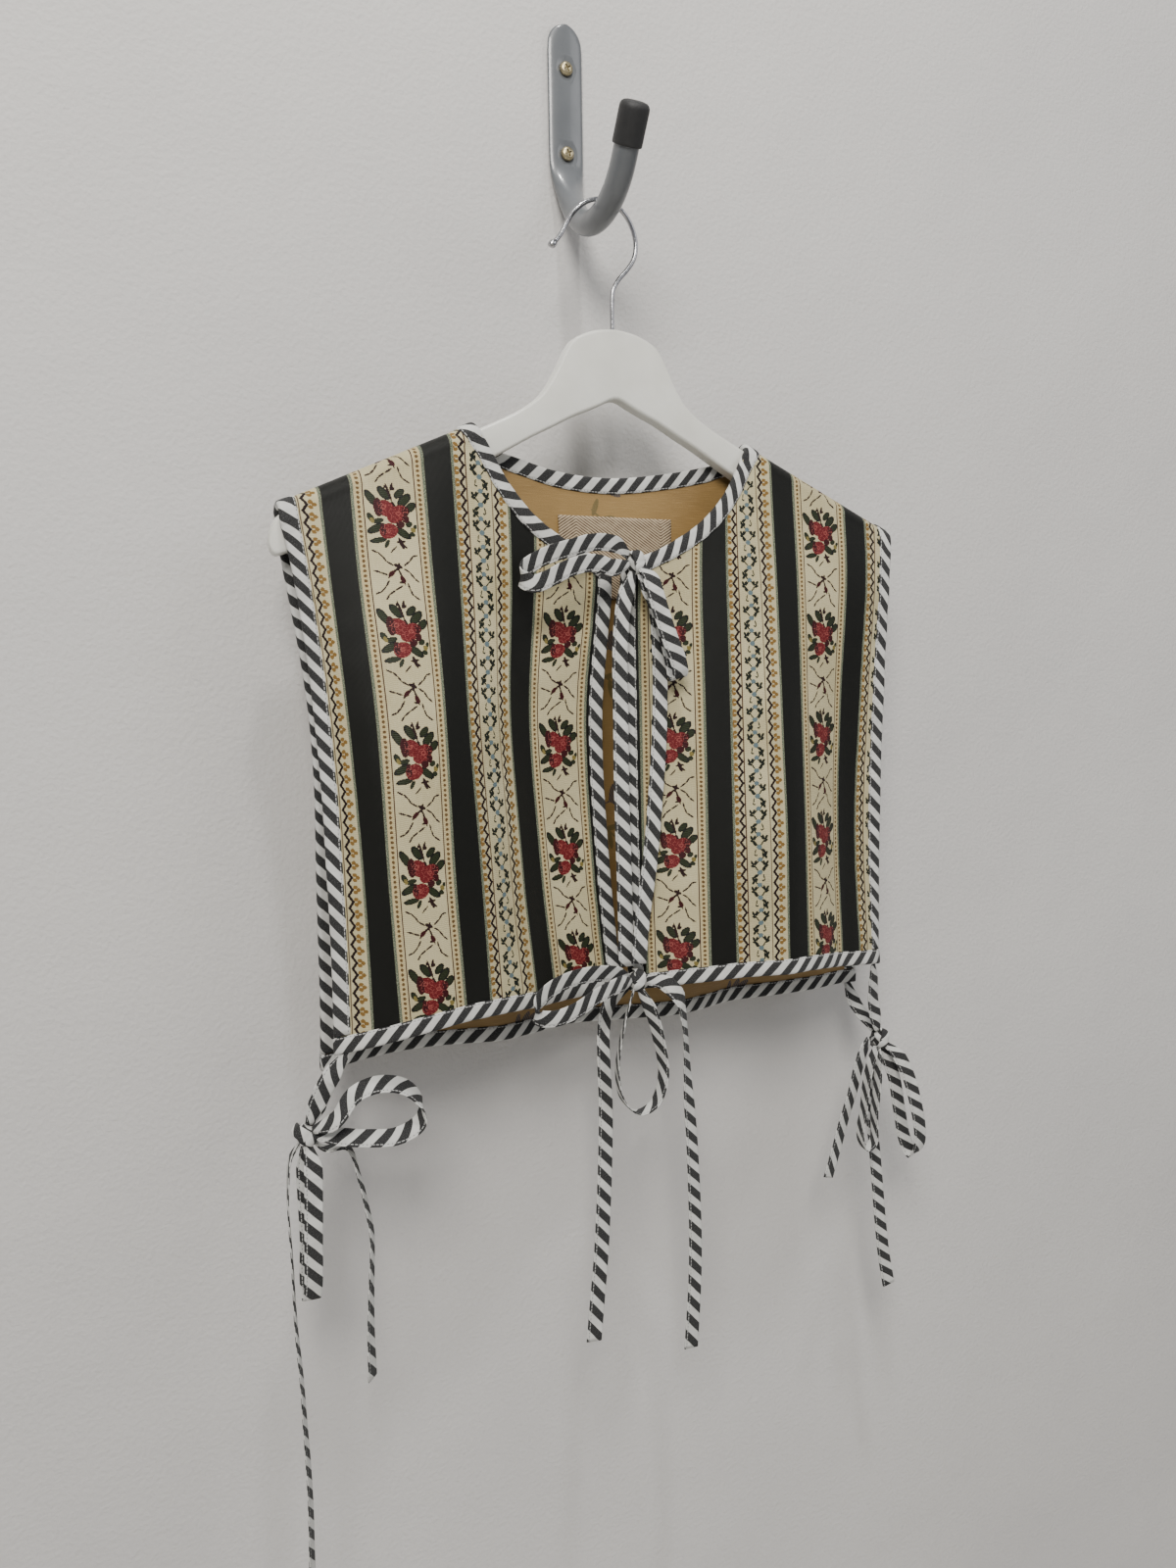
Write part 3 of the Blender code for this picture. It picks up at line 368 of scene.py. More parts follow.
def seamHeight(panel, s):
    near = np.minimum(s, panel["across"] - s) if panel["side"] == 1 else s
    run = garment["tipOut"] - garment["neckOut"]
    return garment["tipHeight"] + (garment["neckHeight"] - garment["tipHeight"]) * near / run


def hemHeight(panel, s):
    return curve(panel["folds"]["across"], panel["folds"]["zHem"], s)


def clothPoint(panel, s, h):  # cut position and height in, place in the room out, millimetres
    s = np.atleast_1d(np.asarray(s, float))
    h = np.atleast_1d(np.asarray(h, float))
    ridge = seamHeight(panel, s)
    folds = panel["folds"]
    heights = [hemHeight(panel, s)] + [garment["levels"][name] for name in panel["levels"][1:-1]]
    heights.append(np.minimum(ridge, garment["neckHeight"] + garment["overNeck"]) + lift - garment["bend"])
    flat = []
    for axis in "xy":
        columns = [curve(folds["across"], folds[axis + name], s) for name in panel["levels"]]
        flat.append(curve(heights, columns, h))
    below = ridge + lift - h
    inside = (s > garment["neckAcross"] + 1) & (s < panel["across"] - garment["neckAcross"] - 1)
    hangs = (below >= garment["bend"]) | (inside if panel["side"] == 1 else False)
    turn = below / ridgeRadius
    overX = curve(folds["across"], folds["xTop"], s)
    overY = garment["hangerY"] + panel["side"] * (garment["seam"] / 2 + ridgeRadius * np.sin(turn))
    overZ = ridge - ridgeRadius * (1 - np.cos(turn))
    return np.stack([np.where(hangs, flat[0], overX) + garment["centreX"], np.where(hangs, flat[1], overY),
                     np.where(hangs, h, overZ)], axis=1)


def clothNormal(panel, s, h):
    step = 0.6  # millimetres to each side
    along = clothPoint(panel, s + step, h) - clothPoint(panel, s - step, h)
    up = clothPoint(panel, s, h + step) - clothPoint(panel, s, h - step)
    n = np.cross(along, up)
    return n / np.linalg.norm(n, axis=1)[:, None] * panel["sign"]


def pulled(away, along, reach, step, stray, slow):
    return np.exp(-away / reach) * np.sin(along / step + stray * np.sin(along / slow))


def waves(panel, s, h):  # how far the cloth stands off its smooth form
    edge = np.minimum(s, panel["across"] - s)
    pull = pulled(edge, h, *garment["sidePucker"]) + pulled(h - hemHeight(panel, s), s, *garment["hemPucker"])
    wide, tall = garment["undulationSize"]
    layer = 3.1 * panel["side"] + panel["sign"]  # a different noise on each panel
    soft = np.array([noise.noise(Vector((a / wide, b / tall, layer))) for a, b in zip(s, h)])
    calm = np.clip((seamHeight(panel, s) - h) / garment["calm"], 0, 1)
    return (garment["pucker"] * pull + garment["undulation"] * soft) * calm


def frontGrid(panel):  # cut positions and heights, the last column along the opening and the neckline
    neck = table(neckline)
    across = panel["folds"]["across"]
    full = garment["frontAcross"]
    wide = garment["binding"]

    def hem(s):
        return float(hemHeight(panel, s)[0])

    def seam(s):
        return float(seamHeight(panel, s))

    edge = [(full, hem(full) + up) for up in garment["frontRows"]] + [(full, garment["neckCorner"])]
    inner = [(full - wide, h) for s, h in edge[:-1]]
    inner.append((full - wide, garment["neckCorner"] - wide))
    top = garment["neckAcross"] + garment["neckTurn"][0][1]
    path = [(full, garment["neckCorner"])] + list(zip(neck["across"], neck["height"]))[::-1]
    path.append((top, seam(top) + lift - garment["bend"]))
    for i in range(1, len(path) - 1):
        run = np.array(path[i - 1]) - np.array(path[i + 1])
        run /= np.linalg.norm(run)
        edge.append(path[i])
        inner.append((path[i][0] + run[1] * wide, path[i][1] - run[0] * wide))
    for below, lean in garment["neckTurn"]:
        s = garment["neckAcross"] + lean
        edge.append((s, seam(s) + lift - below))
        inner.append((s - wide, seam(s - wide) + lift - below))
    rows = len(edge)
    left = [(0.0, hem(0) + up) for up in garment["sideRows"]]
    left += [(0.0, seam(0) + lift - down) for down in garment["sideTopRows"]]
    left += [(0.0, seam(0) + lift - turn[0]) for turn in garment["neckTurn"]]
    grid = []
    for j in range(rows):
        row = [left[j], (wide, left[j][1])]
        down = seam(0) + lift - left[j][1]
        if j >= rows - turnRows:
            row[1] = (wide, seam(wide) + lift - down)
        for s in across[2:-2]:
            f = (s - across[1]) / (across[-2] - across[1])
            s2 = row[1][0] + (inner[j][0] - row[1][0]) * f
            h2 = row[1][1] + (inner[j][1] - row[1][1]) * f
            h2 = hem(s2) + j * wide if j < 2 else h2
            row.append((s2, seam(s2) + lift - down if j >= rows - turnRows else h2))
        if j < 2:
            row[1] = (wide, hem(wide) + j * wide)
        grid.append(row + [inner[j], edge[j]])
    return np.array(grid)


def backHeights(s):  # height of each row of the back at a cut position
    panel = panels["back"]
    rows = table(backRows)
    neck = table(backNeck)
    shoulder = seamHeight(panel, s) + lift - garment["bend"]
    point = float(seamHeight(panel, garment["neckAcross"])) + lift - garment["bend"]
    dip = curve(neck["across"], [point] + list(neck["height"][1:-1]) + [point], s)
    inside = (s > garment["neckAcross"]) & (s < panel["across"] - garment["neckAcross"])
    top = np.where(inside, dip, shoulder)
    middle = panel["across"] / 2
    out = np.clip(np.abs(s - middle) - (middle - garment["neckAcross"]), 0, None) / garment["neckAcross"]
    hem = hemHeight(panel, s)
    heights = [hem, hem + garment["binding"]]
    heights += [a + (b - a) * out for a, b in list(zip(rows["centre"], rows["side"]))[::-1]]
    heights += [top - garment["binding"], top]
    heights += [np.where(inside, top + 0.5 * (k + 1), seamHeight(panel, s) + lift - below)
                for k, (below, lean) in enumerate(garment["neckTurn"][1:])]
    return heights


def spread(grid, u, v):  # smooth cut position and height between a grid's corners
    count = grid.shape[1]
    corners = [grid[:, c, k] for k in (0, 1) for c in range(count)]
    columns = np.array([curve(range(len(grid)), column, v, steady=True) for column in corners])
    place = u * (count - 1)
    i = np.clip(np.floor(place).astype(int), 0, count - 2)
    f = place - i
    at = np.arange(len(u))
    return [columns[i + k * count, at] * (1 - f) + columns[i + 1 + k * count, at] * f for k in (0, 1)]


grids = {"right": frontGrid(panels["right"]), "left": frontGrid(panels["left"])}
backAcross = panels["back"]["folds"]["across"]
backColumns = np.array(backHeights(backAcross))
grids["back"] = np.stack([np.broadcast_to(backAcross, backColumns.shape), backColumns], axis=2)
print("cut worked out")


# mesh helpers
def dress(obj, material, nodes, slotName):
    obj.data.materials.append(material)
    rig.ride(obj, "root")
    if nodes:
        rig.replaces(obj, *nodes)
    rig.slot(obj, slotName)
    return obj


def newObject(name, bm, smooth=True):
    mesh = bpy.data.meshes.new(name)
    bm.to_mesh(mesh)
    bm.free()
    if smooth:
        mesh.shade_smooth()
    obj = bpy.data.objects.new(name, mesh)
    bpy.context.scene.collection.objects.link(obj)
    return obj


def cover(name, columns, rows, place, rolled=False, drop=None, wall=0.0):  # a grid laid over place(u, v)
    bm = bmesh.new()
    bmesh.ops.create_grid(bm, x_segments=columns, y_segments=rows, size=1.0)
    u = np.array([(v.co.x + 1) / 2 for v in bm.verts])
    v = np.array([(vert.co.y + 1) / 2 for vert in bm.verts])
    points, flat, edge = place(u, v)
    uvLayer = bm.loops.layers.uv.new("UVMap")
    edgeLayer = bm.verts.layers.float.new("fromEdge")
    bm.verts.index_update()
    gone = []
    for face in bm.faces:
        middle = [sum(c) / 4 for c in zip(*[(u[x.index], v[x.index]) for x in face.verts])]
        if drop is not None and drop(*middle):
            gone.append(face)
        for loop in face.loops:
            loop[uvLayer].uv = flat[loop.vert.index] * mm
    for vert in bm.verts:
        vert[edgeLayer] = edge[vert.index] * mm
        vert.co = Vector(points[vert.index]) * mm
    bmesh.ops.delete(bm, geom=gone, context="FACES")
    if rolled:
        bmesh.ops.remove_doubles(bm, verts=bm.verts[:], dist=0.000001)
        rims = [e for e in bm.edges if len(e.link_faces) == 1]
        bmesh.ops.holes_fill(bm, edges=rims, sides=0)
        bmesh.ops.recalc_face_normals(bm, faces=bm.faces[:])
    obj = newObject(name, bm)
    if wall:
        thick = obj.modifiers.new("wall", "SOLIDIFY")
        thick.thickness = wall * mm
        thick.offset = 0
    return obj


def resample(lists, lengths, count):  # smooth rows through stations, evenly along their length
    spots = np.linspace(0, lengths[-1], count)
    rows = [np.stack([curve(lengths, block[:, c], spots) for c in range(3)], axis=1) for block in lists]
    return spots, rows


def unit(block):
    return block / np.maximum(np.linalg.norm(block, axis=-1, keepdims=True), 1e-9)


# node helpers, so that each material below reads as a recipe
def srgb(r, g, b):
    parts = [((c / 255 + 0.055) / 1.055) ** 2.4 if c > 10 else c / 255 / 12.92 for c in (r, g, b)]
    return (*parts, 1.0)


class Net:
    def __init__(self, tree):
        self.tree = tree

    def add(self, kind, **settings):
        node = self.tree.nodes.new(kind)
        for name, value in settings.items():
            setattr(node, name, value)
        return node

    def feed(self, socket, value):
        if isinstance(value, bpy.types.NodeSocket):
            self.tree.links.new(value, socket)
        else:
            socket.default_value = value

    def math(self, operation, *values):
        node = self.add("ShaderNodeMath", operation=operation)
        for socket, value in zip(node.inputs, values):
            self.feed(socket, value)
        return node.outputs[0]

    def plus(self, a, b):
        return self.math("ADD", a, b)

    def minus(self, a, b):
        return self.math("SUBTRACT", a, b)

    def times(self, a, b):
        return self.math("MULTIPLY", a, b)

    def divide(self, a, b):
        return self.math("DIVIDE", a, b)

    def modulo(self, a, b):
        return self.math("FLOORED_MODULO", a, b)

    def under(self, a, b):  # 1 where a is less than b
        return self.math("LESS_THAN", a, b)

    def above(self, a, b):
        return self.math("GREATER_THAN", a, b)

    def unsigned(self, a):
        return self.math("ABSOLUTE", a)

    def sine(self, a):
        return self.math("SINE", a)

    def wave(self, a, step):  # a sine with one crest in each step
        return self.sine(self.times(a, 2 * math.pi / step))

    def cells(self, a, step):  # the middle of the step that a lies in
        return self.times(self.plus(self.math("FLOOR", self.divide(a, step)), 0.5), step)

    def cutPlace(self):  # cut position and height in millimetres, from the piece's UV map
        flat = self.vector("SCALE", self.add("ShaderNodeUVMap", uv_map="UVMap").outputs[0])
        flat.node.inputs["Scale"].default_value = 1000.0
        return flat

    def vector(self, operation, *values):
        node = self.add("ShaderNodeVectorMath", operation=operation)
        for socket, value in zip(node.inputs, values):
            self.feed(socket, value)
        return node.outputs["Value" if operation == "LENGTH" else "Vector"]

    def mix(self, mask, below, above):
        node = self.add("ShaderNodeMix", data_type="RGBA")
        for index, value in ((0, mask), (6, below), (7, above)):
            self.feed(node.inputs[index], value)
        return node.outputs[2]

    def split(self, vector):  # its x and y
        node = self.add("ShaderNodeSeparateXYZ")
        self.feed(node.inputs[0], vector)
        return node.outputs[:2]

    def join(self, x, y, z=0.0):
        node = self.add("ShaderNodeCombineXYZ")
        for socket, value in zip(node.inputs, (x, y, z)):
            self.feed(socket, value)
        return node.outputs[0]

    def noise(self, point, scale, detail=2.0, rough=0.5):
        node = self.add("ShaderNodeTexNoise")
        self.feed(node.inputs["Vector"], point)
        node.inputs["Scale"].default_value = scale
        node.inputs["Detail"].default_value = detail
        node.inputs["Roughness"].default_value = rough
        return node.outputs[0]

    def remap(self, value, low, high, toLow=0.0, toHigh=1.0):
        node = self.add("ShaderNodeMapRange")
        for socket, number in zip(node.inputs, (value, low, high, toLow, toHigh)):
            self.feed(socket, number)
        return node.outputs[0]

    def band(self, value, middle, half, soft=0.08):  # 1 where value is within half of middle
        off = self.unsigned(self.minus(value, middle))
        return self.remap(off, half - soft, half + soft, 1.0, 0.0)

    def any(self, *masks):
        total = masks[0]
        for mask in masks[1:]:
            total = self.math("MAXIMUM", total, mask)
        return total

    def both(self, a, b):
        return self.times(a, b)

    def group(self, tree, **values):
        node = self.add("ShaderNodeGroup", node_tree=tree)
        for name, value in values.items():
            self.feed(node.inputs[name], value)
        return node.outputs

    def bump(self, height, distance, strength=1.0):
        node = self.add("ShaderNodeBump")
        node.inputs["Strength"].default_value = strength
        node.inputs["Distance"].default_value = distance
        self.feed(node.inputs["Height"], height)
        return node.outputs[0]

    def spots(self, point, rows):  # nearest oval of a chart, under 1 inside it
        near = None
        for x, y, long, wide, turn in rows:
            node = self.add("ShaderNodeMapping", vector_type="TEXTURE")
            self.feed(node.inputs["Vector"], point)
            node.inputs["Location"].default_value = (x, y, 0)
            node.inputs["Rotation"].default_value = (0, 0, math.radians(turn))
            node.inputs["Scale"].default_value = (long, wide, 1)
            size = self.vector("LENGTH", node.outputs[0])
            near = size if near is None else self.math("MINIMUM", near, size)
        return near


def nodeGroup(name, masks, build):  # a place in, masks out
    tree = bpy.data.node_groups.new(name, "ShaderNodeTree")
    tree.interface.new_socket("Point", in_out="INPUT", socket_type="NodeSocketVector")
    for label in masks:
        tree.interface.new_socket(label, in_out="OUTPUT", socket_type="NodeSocketFloat")
    net = Net(tree)
    source = net.add("NodeGroupInput")
    target = net.add("NodeGroupOutput")
    for label, value in build(net, source.outputs["Point"]).items():
        net.feed(target.inputs[label], value)
    return tree


def chart(text):
    rows = {}
    for line in text.strip().splitlines()[1:]:
        part, *numbers = line.split()
        rows.setdefault(part, []).append([float(n) for n in numbers])
    return rows


def newMaterial(name, **sockets):
    material = bpy.data.materials.new(name)
    material.use_nodes = True
    net = Net(material.node_tree)
    shader = material.node_tree.nodes["Principled BSDF"]
    for label, value in sockets.items():
        shader.inputs[label.replace("_", " ")].default_value = value
    return material, net, shader


# the brocade's motifs, millimetres from the middle of a posy, y up the cloth
posyChart = """
part x     y     long wide turn
leaf -11   10.8  5.72 2.49 -56
leaf -3.4  14    5.04 2.62 -52
leaf 5.8   14    4.01 2.23 42
leaf 8.5   10    5.49 2.75 44
leaf 12    6     3.89 2.49 42
leaf -7.8  -2.8  3.32 1.58 15
leaf -9.3  -7.3  5.96 2.36 26
leaf -8.6  -14.3 5.15 1.7  10
leaf -3.8  -16.3 2.75 1.18 61
leaf 6.2   -9.7  5.49 2.36 -35
leaf 10.3  -4.3  2.17 1.7  22
leaf 11.7  -10.3 1.83 1.44 -16
leaf 13.6  -6    1.83 1.04 70
leaf -12   -1    3.1  1.83 -59
bud  -11.4 -2.6  1.76 1.15 -65
bud  12.4  -7.6  1.65 1.38 -46
twig -0.3  14.3  6    0.81 -74
twig -2    18    1.2  0.81 40
twig 1.6   17.9  2.6  0.81 71
twig 2.0   16.6  1.7  0.94 17
twig 1.9   6.9   2.5  0.94 -70
twig 4.7   -15.8 3.7  1.22 -67
twig 4.6   -14.9 2.8  0.81 7
twig 6.8   -17.6 1.4  0.68 -40
twig -0.2  -19.6 2.9  0.47 -136
rose -2.9  4.8   5.48 4.85 -34
rose 3.8   1.4   7    4.73 35
rose -2.1  -8.7  5.6  4.47 23
deep -7.2  5.3   5.72 2.65 -88
deep 8.8   3.6   2.23 2.81 0
deep 8.5   -1.2  2.12 2.5  0
deep 5.1   -4.6  2.61 2.19 10
deep -5.4  -7.8  3.6  1.72 -86
core -4    5.6   1.5  1.2  0
core 4.4   2     1.6  1.3  0
core -2.2  -8.6  1.4  1.2  0
"""
sprigChart = """
part x     y     long wide turn
stem 1.4   -29.5 2.8  1.08 -22
stem 1.5   -29.9 2.6  0.94 -105
stem -2.2  -33.6 4.6  0.81 -136
stem 3.0   -35.9 5.2  0.68 -72
stem 2.8   -39.1 2    0.68 0
bud  -2.9  -33.9 2.42 1.32 43
bud  3.4   -37.3 2.42 1.44 -61
line -11.6 -20.9 2.04 0.56 -26
line -8.4  -22.8 1.94 0.56 -45
line -6.2  -25.4 1.84 0.56 -57
line -3.3  -27.9 2.45 0.56 -30
line 12.3  -23   1.63 0.56 11
line 9.7   -24.9 2.24 0.56 53
line 6.6   -27.8 2.45 0.56 37
line -11.1 -32.8 2.24 0.56 -17
line -7.2  -34.1 2.14 0.56 -20
line 6.4   -32   2.24 0.56 -32
line 9.3   -34.8 2.35 0.56 -55
line 11.9  -37.7 1.94 0.56 -39
line -6    -40   2.45 0.56 58
line -8.6  -43.4 2.24 0.56 46
line -11.6 -45.4 1.94 0.56 21
line 0.6   -42.4 2.86 0.56 31
line -3.8  -45.2 2.35 0.56 36
line -6.9  -48.4 2.45 0.56 57
line 6.6   -41.4 2.14 0.56 -73
line 7.9   -45.1 2.04 0.56 -69
line 11.1  -48.4 3.16 0.56 -36
"""
vineChart = """
part   x    y     long wide turn
flower 0    0     1.88 1.62 0
flower 0    -17   1.88 1.62 0
flower 0.3  -8.4  1.75 1.5  0
stem   1.9  -2.2  2    0.47 -45
stem   3.5  -4.8  1.5  0.47 -80
stem   2.4  -7    1.8  0.47 -130
stem   -2.1 -10.8 2.3  0.47 -130
stem   -2.2 -14.4 2.4  0.47 -52
stem   2.3  -10.8 2.4  0.47 -50
stem   2.4  -14.4 2.3  0.47 -128
leaf   3.1  -2.4  1.8  0.87 -40
leaf   4.8  -4.2  1.68 0.87 60
leaf   4.5  -6.4  1.68 0.94 -60
leaf   2.4  -5    1.44 0.72 -80
leaf   -5.2 -10.6 1.8  0.87 120
leaf   -3   -10.4 1.68 0.87 70
leaf   -4.7 -12.7 1.68 0.87 -20
leaf   5.2  -10.8 1.8  0.87 60
leaf   3.2  -10.6 1.68 0.87 110
leaf   4.7  -12.9 1.68 0.87 20
leaf   3.3  -14.8 1.8  0.87 -120
hook   -2.8 -2.9  1.7  0.45 -105
hook   -3   -5.2  1    0.45 -50
hook   -2   -5.5  0.7  0.45 50
"""
brocade = {
    "repeat": 118.0,          # across the cloth
    "thread": 0.42,           # the pattern steps from thread to thread
    "posyAcross": 62.5,
    "posyRepeat": 70.0,
    "posyHeight": -352.0,
    "posyField": 20.5,        # of its repeat above the posy's middle
    "roseCells": (0.42, 0.04),  # how many petals, and how wide the line round each
    "vineStart": 102,         # where the vine's band starts, and the rest counted from there
    "vineAcross": 17.6,
    "vineEdging": (6.4, 29.2),
    "vineLines": (8.9, 26.0),
    "vineRepeat": 17.0,
    "edgingRepeat": 7.2,
    "edgingReach": 1.35,
    "edgingShift": 2.6,       # of the outer edging along the cloth
    "dotAcross": (44.2, 80.8),
    "dotRepeat": 2.9,
    "dotSize": (1.0, 0.95),
    "cordStep": 0.7,          # ribs of the dark stripes
    "weftStep": 0.55,
    "rippleStep": 1.15,       # the ground's uneven shots
    "rippleSway": (5.5, 1.4),
    "relief": 0.00028,
    "cream": srgb(182, 173, 138),
    "creamWorn": srgb(168, 158, 122),
    "slub": srgb(196, 188, 156),
    "dark": srgb(6, 7, 4),
    # the rib tone below is a painted highlight: the dark stripes lighter along the crests of their ribs
    "darkRib": srgb(15, 16, 10),
    "edge": srgb(76, 84, 68),
    "edgeSpeckle": srgb(132, 136, 116),
    "border": srgb(176, 161, 120),
    "dots": srgb(88, 66, 36),
    "line": srgb(60, 34, 24),
    "leaf": srgb(30, 36, 16),
    "leafRim": srgb(12, 14, 8),
    "bud": srgb(112, 100, 52),
    "rose": srgb(92, 18, 22),
    "deep": srgb(48, 2, 6),
    "petal": srgb(136, 68, 62),
    "twig": srgb(30, 8, 8),
    "gold": srgb(116, 88, 42),
    "zigzag": srgb(20, 4, 6),
    "blue": srgb(88, 104, 108),
    "vine": srgb(16, 22, 14),
}
stripes = {  # middle and half width across the repeat
    "dark": ((93.5, 8.5), (31.5, 8.5)),
    "floral": ((62.5, 22.5),),
    "edge": ((40.9, 0.9), (84.1, 0.9), (102.8, 0.8), (22.2, 0.8)),
    "border": ((44, 2.2), (81, 2.2)),
    "line": ((47.0, 0.36), (78.0, 0.36)),
}


def buildPosy(net, point):
    rows = chart(posyChart)
    near = {part: net.spots(point, rows[part]) for part in rows}
    inside = {part: net.under(near[part], 1.0) for part in near}
    rim = net.both(inside["leaf"], net.above(near["leaf"], 0.7))
    cells = net.add("ShaderNodeTexVoronoi", feature="DISTANCE_TO_EDGE", voronoi_dimensions="2D")
    net.feed(cells.inputs["Vector"], point)
    cells.inputs["Scale"].default_value = brocade["roseCells"][0]
    outline = net.both(inside["rose"], net.under(cells.outputs[0], brocade["roseCells"][1]))
    ring = net.both(inside["core"], net.above(near["core"], 0.62))
    shown = {part.capitalize(): inside[part] for part in ("leaf", "bud", "twig", "rose", "deep")}
    return {**shown, "Rim": rim, "Petal": net.any(outline, ring)}


def buildSprig(net, point):
    rows = chart(sprigChart)
    near = {part: net.under(net.spots(point, rows[part]), 1.0) for part in rows}
    return {"Twig": net.any(near["stem"], near["line"]), "Bud": near["bud"]}


def buildVine(net, point):
    u, v = net.split(point)
    turnCount = net.math("FLOOR", net.divide(v, brocade["vineRepeat"]))
    flip = net.minus(1.0, net.times(2.0, net.modulo(turnCount, 2.0)))
    fold = net.minus(net.modulo(v, brocade["vineRepeat"]), brocade["vineRepeat"])
    turned = net.join(net.both(u, flip), fold)
    rows = chart(vineChart)
    near = {part: net.under(net.spots(turned, rows[part]), 1.0) for part in rows}
    return {"Flower": near["flower"], "Leaf": net.any(near["leaf"], near["stem"], near["hook"])}


def buildEdging(net, point):  # a zigzag with a three-lobed sprig at each outer peak
    u, v = net.split(point)
    phase = net.modulo(net.divide(v, brocade["edgingRepeat"]), 1.0)
    peak = net.minus(net.times(net.unsigned(net.minus(phase, 0.5)), 4.0), 1.0)
    jog = net.minus(u, net.times(peak, brocade["edgingReach"]))
    zigzag = net.under(net.unsigned(jog), 1.0)
    turned = net.minus(net.modulo(net.plus(phase, 0.5), 1.0), 0.5)
    local = net.join(u, net.times(turned, brocade["edgingRepeat"]))
    lobes = net.spots(local, [(3.3, 1.5, 1.5, 1.15, 20), (3.3, -1.5, 1.5, 1.15, -20), (5.4, 0, 1.5, 1.2, 0)])
    return {"Zigzag": zigzag, "Gold": net.under(lobes, 1.0)}


posyGroup = nodeGroup("posy", ("Leaf", "Rim", "Bud", "Twig", "Rose", "Deep", "Petal"), buildPosy)
sprigGroup = nodeGroup("sprig", ("Twig", "Bud"), buildSprig)
vineGroup = nodeGroup("vine", ("Flower", "Leaf"), buildVine)
edgingGroup = nodeGroup("edging", ("Zigzag", "Gold"), buildEdging)


def brocadeMaterial(name, start, way):  # start and way turn a cut position into a place across the bolt
    material, net, shader = newMaterial(name, Roughness=0.62, Sheen_Weight=0.03, Sheen_Roughness=0.5,
                                        Specular_IOR_Level=0.2)
    flat = net.cutPlace()
    s, h = net.split(flat)
    across = net.plus(net.times(s, way), start)
    threadU = net.cells(across, brocade["thread"])
    threadV = net.cells(h, brocade["thread"])
    q = net.modulo(threadU, brocade["repeat"])
    fine = net.modulo(across, brocade["repeat"])
    # stripes
    part = {key: net.any(*[net.band(fine, *row) for row in rows]) for key, rows in stripes.items()}
    dark, floral = part["dark"], part["floral"]
    dotV = net.minus(net.modulo(threadV, brocade["dotRepeat"]), brocade["dotRepeat"] / 2)
    dotU = net.math("MINIMUM", *[net.unsigned(net.minus(q, middle)) for middle in brocade["dotAcross"]])
    dotSize, squash = brocade["dotSize"]
    dots = net.under(net.vector("LENGTH", net.join(dotU, net.divide(dotV, squash))), dotSize)
    # motifs
    field = brocade["posyField"]
    posyV = net.math("WRAP", net.minus(threadV, brocade["posyHeight"]), field, field - brocade["posyRepeat"])
    motif = net.join(net.minus(q, brocade["posyAcross"]), posyV)
    posy = net.group(posyGroup, Point=motif)
    sprig = net.group(sprigGroup, Point=motif)
    shifted = net.modulo(net.plus(threadU, brocade["repeat"] - brocade["vineStart"]), brocade["repeat"])
    vine = net.group(vineGroup, Point=net.join(net.minus(shifted, brocade["vineAcross"]), threadV))
    near, far = brocade["vineEdging"]
    inner = net.group(edgingGroup, Point=net.join(net.minus(near, shifted), threadV))
    outer = net.group(edgingGroup,
                      Point=net.join(net.minus(shifted, far), net.plus(threadV, brocade["edgingShift"])))
    thin = net.any(*[net.band(shifted, middle, 0.3) for middle in brocade["vineLines"]])
    # colour, bottom layer first
    wear = net.noise(flat, 0.02, 3)
    slub = net.noise(net.vector("MULTIPLY", flat, (1.2, 0.12, 1)), 1.0, 2)
    colour = net.mix(net.remap(wear, 0.35, 0.7), brocade["cream"], brocade["creamWorn"])
    colour = net.mix(net.remap(slub, 0.5, 0.75, 0, 0.35), colour, brocade["slub"])
    isVine = net.minus(1.0, net.any(floral, dark))
    colour = net.mix(net.both(part["border"], floral), colour, brocade["border"])
    colour = net.mix(net.both(dots, part["border"]), colour, brocade["dots"])
    colour = net.mix(part["line"], colour, brocade["line"])
    layers = [(posy["Leaf"], "leaf"), (posy["Rim"], "leafRim"), (posy["Bud"], "bud"),
              (posy["Twig"], "twig"), (posy["Rose"], "rose"), (posy["Deep"], "deep"),
              (posy["Petal"], "petal"), (sprig["Twig"], "twig"), (sprig["Bud"], "deep")]
    vineLayers = [(vine["Leaf"], "vine"), (vine["Flower"], "blue"), (thin, "line"), (inner["Gold"], "gold"),
                  (outer["Gold"], "gold"), (inner["Zigzag"], "zigzag"), (outer["Zigzag"], "zigzag")]
    for where, group in ((floral, layers), (isVine, vineLayers)):
        for mask, tone in group:
            colour = net.mix(net.both(mask, where), colour, brocade[tone])
    speckle = net.above(net.noise(net.vector("MULTIPLY", flat, (1.6, 2.4, 1)), 1.0, 0), 0.56)
    colour = net.mix(part["edge"], colour, net.mix(speckle, brocade["edge"], brocade["edgeSpeckle"]))
    cord = net.wave(across, brocade["cordStep"])
    # painted highlight: the dark stripes lighter on each rib's crest, in step with the ribs' bump
    darkWithRibHighlights = net.mix(net.remap(cord, -1, 1, 0, 0.5), brocade["dark"], brocade["darkRib"])
    colour = net.mix(dark, colour, darkWithRibHighlights)
    net.feed(shader.inputs["Base Color"], colour)
    # relief
    swayStep, sway = brocade["rippleSway"]
    ripple = net.sine(net.plus(net.times(h, 2 * math.pi / brocade["rippleStep"]),
                               net.times(net.wave(across, swayStep), sway)))
    weft = net.wave(h, brocade["weftStep"])
    plain = net.minus(1.0, dark)
    height = net.plus(net.times(net.both(ripple, plain), 0.16), net.times(weft, 0.08))
    height = net.plus(height, net.times(net.both(cord, dark), 0.12))
    height = net.plus(height, net.times(wear, 2.0))
    net.feed(shader.inputs["Normal"], net.bump(height, brocade["relief"]))
    silk = net.any(posy["Leaf"], posy["Rose"], posy["Deep"], dark)
    net.feed(shader.inputs["Roughness"], net.remap(silk, 0, 1, 0.66, 0.5))
    return material


